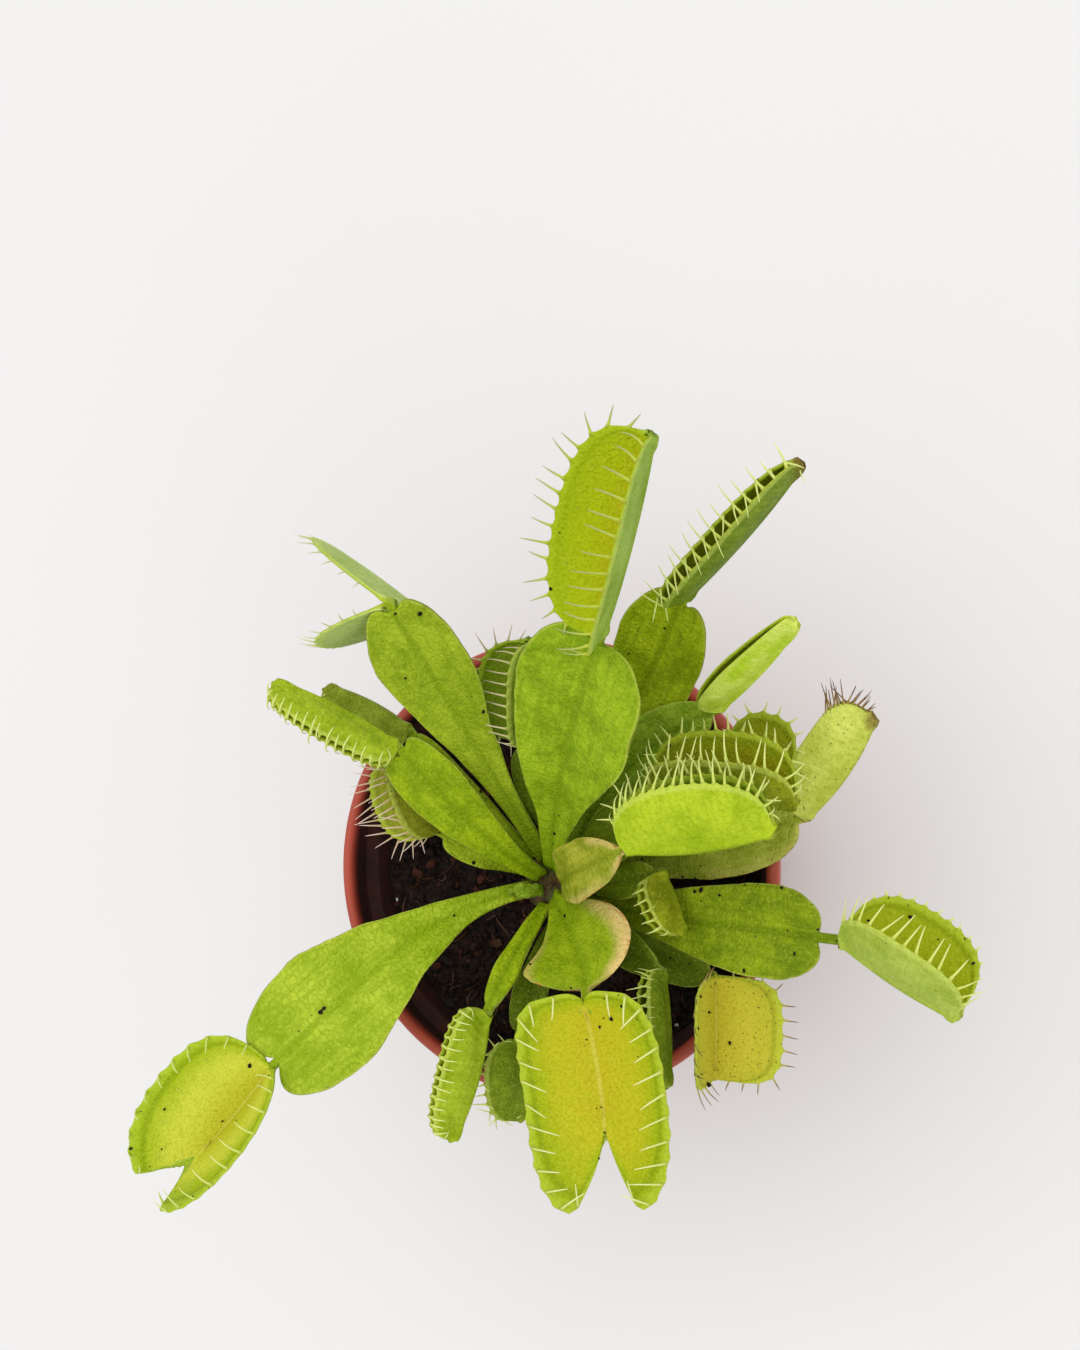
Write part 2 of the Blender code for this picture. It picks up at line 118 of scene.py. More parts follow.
class Signal:
    # one socket of a material, on which arithmetic adds Math nodes
    def __init__(self, tree, socket):
        self.tree = tree
        self.socket = socket

    def node(self, kind, settings=None, inputs=None, output=0):
        made = self.tree.nodes.new(kind)
        for key, value in (settings or {}).items():
            setattr(made, key, value)
        for key, value in (inputs or {}).items():
            if isinstance(value, Signal):
                self.tree.links.new(value.socket, made.inputs[key])
            else:
                made.inputs[key].default_value = value
        return Signal(self.tree, made.outputs[output])

    def beside(self, output):
        return Signal(self.tree, self.socket.node.outputs[output])

    def math(self, operation, *values):
        return self.node("ShaderNodeMath", {"operation": operation}, dict(enumerate(values)))

    def __add__(self, other):
        return self.math("ADD", self, other)

    def __radd__(self, other):
        return self.math("ADD", other, self)

    def __sub__(self, other):
        return self.math("SUBTRACT", self, other)

    def __rsub__(self, other):
        return self.math("SUBTRACT", other, self)

    def __mul__(self, other):
        return self.math("MULTIPLY", self, other)

    def __rmul__(self, other):
        return self.math("MULTIPLY", other, self)

    def __abs__(self):
        return self.math("ABSOLUTE", self)

    def root(self):
        return self.math("SQRT", self)

    def fraction(self):
        return self.math("FRACT", self)

    def larger(self, other):
        return self.math("MAXIMUM", self, other)

    def between(self, low, high):
        # 0 below low, 1 above high, an S-curve between; the other way round where low is the larger
        if low > high:
            return 1 - self.between(high, low)
        return self.node("ShaderNodeMapRange", {"interpolation_type": "SMOOTHSTEP"},
                         {"Value": self, "From Min": low, "From Max": high})

    def noise(self, size, detail=3, roughness=0.55, distortion=0):
        # self is a place; size is the width of a patch in millimetres
        return self.node("ShaderNodeTexNoise", {}, {"Vector": self, "Scale": 1000 / size, "Detail": detail,
                                                    "Roughness": roughness, "Distortion": distortion}, "Fac")

    def cells(self, size, feature="F1", output="Distance"):
        return self.node("ShaderNodeTexVoronoi", {"feature": feature}, {"Vector": self, "Scale": 1000 / size},
                         output)

    def dots(self, size, radius, share):
        # round spots of that radius in cells, in only a share of the cells
        cell = self.cells(size)
        chosen = cell.beside("Color").node("ShaderNodeSeparateColor", {}, {"Color": cell.beside("Color")}, "Red")
        reach = radius / size
        return cell.between(reach, reach * 0.55) * chosen.between(1 - share - 0.02, 1 - share + 0.02)

    def mix(self, first, second):
        # self is the share of second
        return self.node("ShaderNodeMix", {"data_type": "RGBA"}, {0: self, 6: first, 7: second}, 2)


def newFinish(name, **settings):
    made = bpy.data.materials.new(name)
    made.use_nodes = True
    shader = made.node_tree.nodes["Principled BSDF"]
    for key, value in settings.items():
        shader.inputs[key.replace("_", " ")].default_value = value
    seed = Signal(made.node_tree, shader.outputs[0])
    place = seed.node("ShaderNodeTexCoord", {}, {}, "Object")
    return made, shader, place


def wire(shader, **links):
    for key, value in links.items():
        value.tree.links.new(value.socket, shader.inputs[key.replace("_", " ")])


def raised(height, depth):
    # a Bump from a height in shares of depth millimetres
    return height.node("ShaderNodeBump", {}, {"Height": height, "Distance": depth * mm, "Strength": 1}, "Normal")


def screen(red, green, blue):
    # a screen colour, 0 to 255, as linear light
    linear = [((v / 255 + 0.055) / 1.055) ** 2.4 if v > 10 else v / 255 / 12.92 for v in (red, green, blue)]
    return (*linear, 1)


def settle(slot, *pieces, replaced=None):
    # every piece belongs to the one body; the node replaced, if any, is hidden
    for piece in pieces:
        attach(piece, "root")
    if replaced:
        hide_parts(replaced)


# camera, light and floor

view = {"place": (98.3, 10.3, 382.3), "look": (-0.3122, 0.0849, -0.9462), "up": (0.0265, 0.9964, 0.0807),
        "lens": 54, "sensor": 36}


def facing(place, look, up):
    # a camera or lamp at place that looks along its own -Z
    back = -unit(np.array(look, float))
    right = unit(np.cross(up, back))
    axes = np.stack([right, np.cross(back, right), back, place], -1)
    return Matrix(axes.tolist() + [[0, 0, 0, 1]])


def makeCamera():
    data = bpy.data.cameras.new("camera")
    data.lens = view["lens"]
    data.sensor_width = view["sensor"]
    data.sensor_fit = "HORIZONTAL"
    data.clip_start = 0.01
    camera = bpy.data.objects.new("camera", data)
    bpy.context.scene.collection.objects.link(camera)
    camera.matrix_world = facing(np.array(view["place"]) * mm, view["look"], view["up"])
    bpy.context.scene.camera = camera


lamps = {
    "overhead": dict(place=(-0.12, 0.25, 1.5), size=2.2, power=13.5, shade=(1, 0.985, 0.955)),
    "fill": dict(place=(1.0, -0.8, 1.0), size=1.4, power=3, shade=(1, 0.99, 0.97)),
}
room = {"light": (0.98, 0.985, 1, 1), "strength": 0.68, "floorReach": 3, "floorDrop": 0.0002,
        "floorShadowTones": ((0.8, 0.79, 0.785, 1), (0.86, 0.855, 0.85, 1))}


def addLight(name, place, size, power, shade):
    data = bpy.data.lights.new(name, "AREA")
    data.shape = "DISK"
    data.size = size
    data.energy = power
    data.color = shade
    lamp = bpy.data.objects.new(name, data)
    bpy.context.scene.collection.objects.link(lamp)
    lamp.matrix_world = facing(place, np.array([0, 0, 0.09]) - place, (0, 1, 0))


def makeStage():
    for name, lamp in lamps.items():
        addLight(name, **lamp)
    world = bpy.data.worlds.new("room")
    world.use_nodes = True
    world.node_tree.nodes["Background"].inputs["Color"].default_value = room["light"]
    world.node_tree.nodes["Background"].inputs["Strength"].default_value = room["strength"]
    bpy.context.scene.world = world
    bpy.context.scene.view_settings.view_transform = "Standard"
    finish, shader, place = newFinish("paleFloor", Roughness=0.9)
    # painted shadow: large soft blotches of darker floor colour
    wire(shader, Base_Color=place.noise(400, 2).mix(*room["floorShadowTones"]))
    reach, drop = room["floorReach"], -room["floorDrop"]
    corners = [(-reach, -reach, drop), (reach, -reach, drop), (reach, reach, drop), (-reach, reach, drop)]
    floor = addMesh("floor", corners, [(0, 1, 2, 3)], finish)


makeCamera()
makeStage()
print("camera, light and floor made")


# pot

pot = {"height": 78, "rim": 45, "collar": 9, "collarStep": 2.2, "foot": 31, "wall": 1.3, "lip": 2.6, "floor": 1.6,
       "holes": 6, "holeRadius": 3.5, "holeRing": 21, "steps": 192}


def outerRadius(height):
    # straight taper from the foot to just under the collar
    top = pot["rim"] - pot["collarStep"] - 1.2
    return pot["foot"] + (top - pot["foot"]) * height / (pot["height"] - pot["collar"])


def rounded(points, radius, count=5):
    # each corner of a profile replaced by a quadratic curve that starts and ends at most radius from it
    points = np.array(points, float)
    before = points[1:-1] - points[:-2]
    after = points[2:] - points[1:-1]
    reachIn = np.minimum(radius, 0.45 * np.linalg.norm(before, axis=1))[:, None]
    reachOut = np.minimum(radius, 0.45 * np.linalg.norm(after, axis=1))[:, None]
    start, end = points[1:-1] - unit(before) * reachIn, points[1:-1] + unit(after) * reachOut
    t = np.linspace(0, 1, count)[None, :, None]
    corners = (1 - t) ** 2 * start[:, None] + 2 * (1 - t) * t * points[1:-1, None] + t ** 2 * end[:, None]
    return np.concatenate([points[:1], corners.reshape(-1, 2), points[-1:]])


def turned(profile, steps, centre=(0, 0)):
    # every (radius, height) carried round the vertical axis; the first and last point stand on the axis
    around = np.arange(steps) / steps * turn
    radius, height = profile[1:-1, 0][:, None], profile[1:-1, 1][:, None]
    rings = np.stack([radius * np.cos(around), radius * np.sin(around), height + 0 * around], -1)
    points, faces = stacked(rings, (0, 0, profile[0, 1]), (0, 0, profile[-1, 1]))
    return points + np.array([*centre, 0]), faces


def potFinish():
    # terracotta-red moulded plastic: even colour, faint flow marks, dust and peat splashes inside, painted shade over
    # the inner wall and a painted highlight on the lip
    finish, shader, place = newFinish("potPlastic", Specular_IOR_Level=0.45)
    axes = place.node("ShaderNodeSeparateXYZ", {}, {"Vector": place}, "X")
    height = axes.beside("Z")
    radius = (axes * axes + axes.beside("Y") * axes.beside("Y")).root()
    mottling = place.noise(14, 4, 0.6)
    base = mottling.between(0.3, 0.7).mix(screen(139, 45, 34), screen(158, 58, 43))
    base = (place.noise(2.2, 4, 0.7).between(0.62, 0.8) * 0.35).mix(base, screen(176, 92, 70))
    # the middle of the wall: the taper, and above its top the collar
    taper = (outerRadius(pot["height"]) - pot["foot"]) / pot["height"]
    wall = (height * taper + (pot["foot"] - pot["wall"] / 2) * mm).larger(height.between(0.0688, 0.0692) * 0.0435)
    inside = (wall - radius).between(-0.0003, 0.0003) * height.between(0.055, 0.062)
    splash = place.dots(1.9, 0.5, 0.45).larger(place.dots(0.9, 0.25, 0.35))
    low = height.between(0.0775, 0.0665)
    base = (inside * splash * low * 0.9).mix(base, screen(30, 18, 14))
    # painted shade: the inner wall above the soil darkened to near-black red, a little uneven
    innerWallShade = inside * height.between(0.0774, 0.075) * (0.75 + 0.4 * place.noise(5, 4, 0.65))
    base = innerWallShade.mix(base, screen(40, 11, 10))
    # painted highlight: a lighter band round the inner top of the lip
    base = (radius.between(0.0425, 0.0432) * height.between(0.0735, 0.0765) * 0.6).mix(base, screen(196, 84, 62))
    dust = place.noise(1.1, 5, 0.7).between(0.58, 0.72) * (1 - inside) * 0.3
    base = dust.mix(base, screen(182, 110, 88))
    grain = place.noise(0.5, 3, 0.6)
    wire(shader, Base_Color=base, Roughness=0.36 + 0.16 * mottling + 0.1 * dust + 0.4 * inside,
         Normal=raised(grain * 0.6 + place.noise(6, 2) * 1.6, 0.05))
    return finish


def makePot():
    p = pot
    collarFoot = p["height"] - p["collar"]
    lip = p["lip"] / 2
    collarRadius = p["rim"] - 0.7
    profile = [(0, p["floor"]), (outerRadius(p["floor"]) - p["wall"] - 1.2, p["floor"])]
    profile += [(outerRadius(p["floor"] + 2) - p["wall"], p["floor"] + 2)]
    profile += [(outerRadius(collarFoot) - p["wall"], collarFoot + 0.6)]
    profile += [(collarRadius - p["wall"] - 0.2, collarFoot + 1.8), (p["rim"] - p["lip"], p["height"] - 2 * lip)]
    angles = np.radians(np.linspace(180, 0, 13))
    profile += [(p["rim"] - lip + lip * math.cos(a), p["height"] - lip + lip * math.sin(a)) for a in angles]
    profile += [(p["rim"], p["height"] - 2.2 * lip), (collarRadius, p["height"] - 2.8 * lip)]
    profile += [(collarRadius - 0.3, collarFoot + 0.4), (collarRadius - 0.8, collarFoot)]
    profile += [(outerRadius(collarFoot), collarFoot), (outerRadius(1), 1), (p["foot"] - 0.8, 0), (0, 0)]
    points, faces = turned(rounded(profile, 0.35) * mm, p["steps"])
    piece = addMesh("potShell", points, faces, potFinish(), sharp=40)
    for number in range(p["holes"]):
        angle = turn * number / p["holes"]
        ring = turned(np.array([(0, 5), (p["holeRadius"], 5), (p["holeRadius"], -5), (0, -5)]) * mm, 32,
                      (p["holeRing"] * mm * math.cos(angle), p["holeRing"] * mm * math.sin(angle)))
        drill = addMesh("drill", *ring, piece.data.materials[0])
        cut = piece.modifiers.new("drain", "BOOLEAN")
        cut.operation = "DIFFERENCE"
        cut.solver = "EXACT"
        cut.object = drill
        with bpy.context.temp_override(object=piece, active_object=piece):
            bpy.ops.object.modifier_apply(modifier=cut.name)
        bpy.data.objects.remove(drill)
    piece.data.set_sharp_from_angle(angle=math.radians(40))
    settle("pot", piece, replaced="pot")


makePot()
print("pot made")


# soil

soil = {"depth": 11.5, "mound": 1.5, "gap": 0.3, "steps": 260, "rings": 92, "crumbs": 3400, "crumbSize": (0.3, 1.5),
        "paleShare": 0.22, "perlite": 26, "perliteSize": (0.3, 0.6), "fibres": 620, "fibreLength": (2.2, 8.5),
        "fibreGirth": (0.07, 0.2)}
crown = {"x": -1, "y": -3.5, "radius": 7, "dome": 4.5, "steps": 96, "rings": 40, "stubs": 17,
         "stubReach": (7.2, 10.5), "stubGirth": (0.5, 0.95)}
soilTop = pot["height"] - soil["depth"]
crownBase = soilTop + soil["mound"]
wallRadius = outerRadius(soilTop) - pot["wall"] - soil["gap"]


def soilHeight(x, y):
    # a low mound round the crown with lumps of three sizes, in millimetres; it dips a little at the wall
    radius = np.hypot(x, y)
    height = soilTop + soil["mound"] * (1 - smooth(radius, 8, 30)) - 0.9 * smooth(radius, wallRadius - 5, wallRadius)
    lumps = 0.9 * bumps(x, y, 8.0, 11) + 0.9 * bumps(x, y, 3.1, 12) + 0.6 * bumps(x, y, 1.3, 13)
    near = smooth(np.hypot(x - crown["x"], y - crown["y"]), 5, 12)
    return height + lumps * (0.25 + 0.75 * near) - 0.35


def peatFinish():
    # damp peat: near-black brown, redder fibres and paler dry grains, a wet gleam in places
    finish, shader, place = newFinish("dampPeat", Specular_IOR_Level=0.22)
    tone = place.node("ShaderNodeAttribute", {"attribute_name": "tone"}, {}, "Fac")
    grain = place.noise(1.2, 6, 0.7)
    base = grain.between(0.35, 0.75).mix(screen(9, 6, 6), screen(54, 36, 30))
    base = (place.noise(7, 3).between(0.5, 0.75) * 0.5).mix(base, screen(52, 28, 20))
    base = (place.dots(1.3, 0.16, 0.08) * 0.7).mix(base, screen(104, 86, 72))
    base = tone.between(0.12, 0.5).mix(base, screen(78, 44, 30))
    base = tone.between(0.55, 0.8).mix(base, screen(120, 90, 66))
    base = tone.between(0.86, 0.96).mix(base, screen(232, 226, 216))
    wire(shader, Base_Color=base, Roughness=0.55 + 0.4 * place.noise(4, 4).between(0.3, 0.6),
         Normal=raised(grain * 0.6 + place.noise(0.4, 4, 0.7) * 0.4, 0.4))
    return finish


def crumbShapes(places, sizes, seed):
    # an octahedron cut once into 32 faces, its 18 points pushed in and out and turned differently for each crumb
    corners = np.array([(1, 0, 0), (-1, 0, 0), (0, 1, 0), (0, -1, 0), (0, 0, 1), (0, 0, -1)], float)
    coarse = [(0, 2, 4), (2, 1, 4), (1, 3, 4), (3, 0, 4), (2, 0, 5), (1, 2, 5), (3, 1, 5), (0, 3, 5)]
    middles, faces = {}, []
    points = [tuple(c) for c in corners]
    for face in coarse:
        halves = []
        for a, b in zip(face, face[1:] + face[:1]):
            key = (min(a, b), max(a, b))
            if key not in middles:
                middles[key] = len(points)
                points.append(tuple(unit(corners[a] + corners[b])))
            halves.append(middles[key])
        ab, bc, ca = halves
        a, b, c = face
        faces += [(a, ab, ca), (ab, b, bc), (ca, bc, c), (ab, bc, ca)]
    rng = np.random.default_rng(seed)
    count = len(places)
    shape = np.array(points)[None] * rng.uniform(0.62, 1.25, (count, 18, 1)) * rng.uniform(0.55, 1.2, (count, 1, 3))
    first, second = unit(rng.normal(size=(count, 3))), rng.normal(size=(count, 3))
    third = unit(np.cross(first, second))
    turns = np.stack([first, np.cross(third, first), third], 1)
    shape = np.einsum("kpi,kij->kpj", shape, turns) * sizes[:, None, None] + places[:, None]
    every = np.array(faces)[None] + 18 * np.arange(count)[:, None, None]
    return shape.reshape(-1, 3), every.reshape(-1, 3).tolist()


def tubes(centres, radii, sides):
    # a ring of points round every centre of every path; centres is (paths, rings, 3), radii (paths, rings)
    paths, rings = centres.shape[:2]
    forward = unit(np.gradient(centres, axis=1))
    level = unit(np.cross(forward, np.array([0.31, 0.17, 0.94])))
    other = np.cross(forward, level)
    angle = (np.arange(sides) / sides * turn)[None, None, :, None]
    points = centres[:, :, None] + radii[:, :, None, None] * (np.cos(angle) * level[:, :, None]
                                                              + np.sin(angle) * other[:, :, None])
    quads = np.array(gridFaces(rings, sides, closed=True))[:, ::-1]
    start = (np.arange(paths) * rings * sides)[:, None, None]
    faces = (quads[None] + start).reshape(-1, 4).tolist()
    ends = np.arange(sides)
    faces += (ends[::-1][None] + start[:, 0]).tolist() + (ends[None] + (rings - 1) * sides + start[:, 0]).tolist()
    return points.reshape(-1, 3), faces


def scattered(rng, count, inner, outer):
    # places spread evenly over a ring round the pot's axis
    radius = np.sqrt(rng.uniform(inner ** 2, outer ** 2, count))
    angle = rng.uniform(0, turn, count)
    return radius * np.cos(angle), radius * np.sin(angle)


def makeSoil():
    finish = peatFinish()
    steps, rings = soil["steps"], soil["rings"]
    around = np.arange(steps) / steps * turn
    share = np.linspace(1 / rings, 1, rings) ** 0.8
    radius = (wallRadius * share)[:, None]
    x, y = radius * np.cos(around), radius * np.sin(around)
    top = np.stack([x, y, soilHeight(x, y)], -1)
    low = [(outerRadius(30) - pot["wall"] - 0.3, 30), (outerRadius(3.5) - pot["wall"] - 0.4, 3.5)]
    low += [(outerRadius(2) - pot["wall"] - 2.2, pot["floor"] + 0.3)]
    sides = [np.stack([r * np.cos(around), r * np.sin(around), 0 * around + h], -1) for r, h in low]
    points, faces = stacked(np.concatenate([top, np.stack(sides)]), (0, 0, soilHeight(0.0, 0.0)),
                            (0, 0, pot["floor"] + 0.3))
    bed = addMesh("peatBed", points * mm, faces, finish, {"tone": np.zeros(len(points))})
    rng = np.random.default_rng(21)
    count, (least, most) = soil["crumbs"], soil["crumbSize"]
    x, y = scattered(rng, count, 5, wallRadius - 0.8)
    size = least + most * rng.power(0.5, count) ** 2 * rng.uniform(0.3, 1, count)
    places = np.stack([x, y, soilHeight(x, y) + rng.uniform(0, 0.8, count) * size], -1)
    tone = np.where(rng.random(count) < soil["paleShare"], rng.uniform(0.2, 0.6, count), 0)
    tone[: soil["perlite"]] = 1
    size[: soil["perlite"]] = rng.uniform(*soil["perliteSize"], soil["perlite"])
    points, faces = crumbShapes(places * mm, size * mm, 22)
    crumbs = addMesh("peatCrumbs", points, faces, finish, {"tone": np.repeat(tone, 18)}, sharp=30)
    count = soil["fibres"]
    x, y = scattered(rng, count, 6, wallRadius - 3)
    heading, bend = rng.uniform(0, turn, count), rng.normal(0, 1.4, count)
    length, girth = rng.uniform(*soil["fibreLength"], count), rng.uniform(*soil["fibreGirth"], count)
    along = np.linspace(-0.5, 0.5, 7)[None]
    way = heading[:, None] + bend[:, None] * along
    px = x[:, None] + length[:, None] * along * np.cos(way)
    py = y[:, None] + length[:, None] * along * np.sin(way)
    inside = np.minimum(1, (wallRadius - 0.6) / np.hypot(px, py))
    px, py = px * inside, py * inside
    lift = 0.35 + rng.uniform(0, 1.1, count)[:, None] * (0.25 - along ** 2) * 4
    centres = np.stack([px, py, soilHeight(px, py) + lift], -1)
    radii = girth[:, None] * (1 - 1.6 * np.abs(along))
    points, faces = tubes(centres * mm, radii * mm, 4)
    tone = rng.choice([0.0, 0.25, 0.45, 0.75], count, p=[0.45, 0.25, 0.2, 0.1])
    fibres = addMesh("peatFibres", points, faces, finish, {"tone": np.repeat(tone, 28)})
    settle("soil", bed, crumbs, fibres, replaced="soil")


makeSoil()
print("soil made")


# crown

def crownFinish():
    # brown, moist old leaf bases with green showing through
    finish, shader, place = newFinish("crownBark", Specular_IOR_Level=0.45)
    streak = place.node("ShaderNodeMapping", {}, {"Vector": place, "Scale": (1, 1, 0.3)}).noise(1.4, 5, 0.65)
    base = streak.between(0.3, 0.7).mix(screen(44, 28, 18), screen(104, 78, 36))
    base = (place.noise(4, 3).between(0.5, 0.7) * 0.6).mix(base, screen(98, 112, 40))
    base = place.dots(0.9, 0.2, 0.3).mix(base, screen(20, 12, 9))
    wire(shader, Base_Color=base, Roughness=0.4 + 0.35 * streak, Normal=raised(streak, 0.35))
    return finish


def makeCrown():
    finish = crownFinish()
    steps, rings = crown["steps"], crown["rings"]
    slope = np.linspace(0.02, math.pi / 2, rings)[:, None]
    around = (np.arange(steps) / steps * turn)[None]
    bulge = 1 + 0.05 * bumps(around * 8 / turn * 5, slope * 6, 1.0, 31) + 0.06 * np.cos(around * 9 + slope * 3)
    radius = crown["radius"] * np.sin(slope) * bulge
    height = crownBase + crown["dome"] * np.cos(slope) * (0.95 + 0.06 * np.cos(around * 5)) + 0 * radius
    dome = np.stack([crown["x"] + radius * np.cos(around), crown["y"] + radius * np.sin(around), height], -1)
    foot = dome[-1] * (0.75, 0.75, 1) + (0.25 * crown["x"], 0.25 * crown["y"], -7)
    points, faces = stacked(np.concatenate([dome, foot[None]]),
                            (crown["x"], crown["y"], crownBase + crown["dome"] * 0.96),
                            (crown["x"], crown["y"], crownBase - 9))
    dome = addMesh("crownDome", points * mm, faces, finish)
    rng = np.random.default_rng(33)
    count = crown["stubs"]
    angle = np.arange(count) / count * turn + rng.uniform(-0.15, 0.15, count)
    reach = rng.uniform(*crown["stubReach"], count)
    t = np.linspace(0, 1, 8)[None]
    out = 4.5 + (reach[:, None] - 4.5) * t
    rise = crownBase + 1.2 + rng.uniform(0.2, 2.2, count)[:, None] * np.sin(t * 2.6) - 1.5 * t ** 2
    way = angle[:, None] + rng.normal(0, 0.25, count)[:, None] * t
    centres = np.stack([crown["x"] + out * np.cos(way), crown["y"] + out * np.sin(way), rise], -1)
    radii = rng.uniform(*crown["stubGirth"], count)[:, None] * (1 - 0.55 * t ** 2)
    points, faces = tubes(centres * mm, radii * mm, 8)
    stubs = addMesh("oldLeafStubs", points, faces, finish)
    settle("rhizome", dome, stubs, replaced="rhizome")


makeCrown()
print("crown made")


# leaves

# ring and start place the leaf's foot on the crown; heading, reach and height place the joint of blade and trap;
# arch and swing bend the petiole. half and widest are the blade's half width and where it comes, wedge how late it
# widens, heart how far its shoulders pass the neck, fold, wave and crinkle how it leaves the flat.
# trap is the trap's length, depth a lobe's, over and fore how far its outline stands back and forward of the midrib,
# square, taper and bulge its outline; thead, pitch and mouth turn it; gape is a lobe's angle from the mouth's axis at
# midrib and margin. teeth: number along a lobe; length, lean and curl of the left and right row; span is the share
# of the margin they stand on, and rake and fan lean them along it.
usualLeaf = {
    "arch": 14, "swing": 0, "swingEnd": None, "ease": 0.36, "easeEnd": 0.36,
    "stalk": 1.7, "half": 6, "widest": 0.68, "wedge": 1.6, "heart": 0.3, "neck": 0.9, "neckLen": 1.5,
    "fold": 12, "wave": 0.6, "crinkle": 0.16,
    "trap": 0, "thead": 0, "pitch": 0, "mouth": 0, "depth": 10, "depth2": None, "over": 0.25, "fore": 0,
    "sag": 0.06, "gape": (24, -24), "gape2": None,
    "teeth": 14, "long": (4.2, 4.2), "span": (0.08, 0.94), "lean": (25, 25), "curl": (30, 30), "rake": 0.1,
    "fan": (0.25, 0.25), "girth": 0.2, "square": 0.85, "bulge": 0.4, "taper": 0,
}
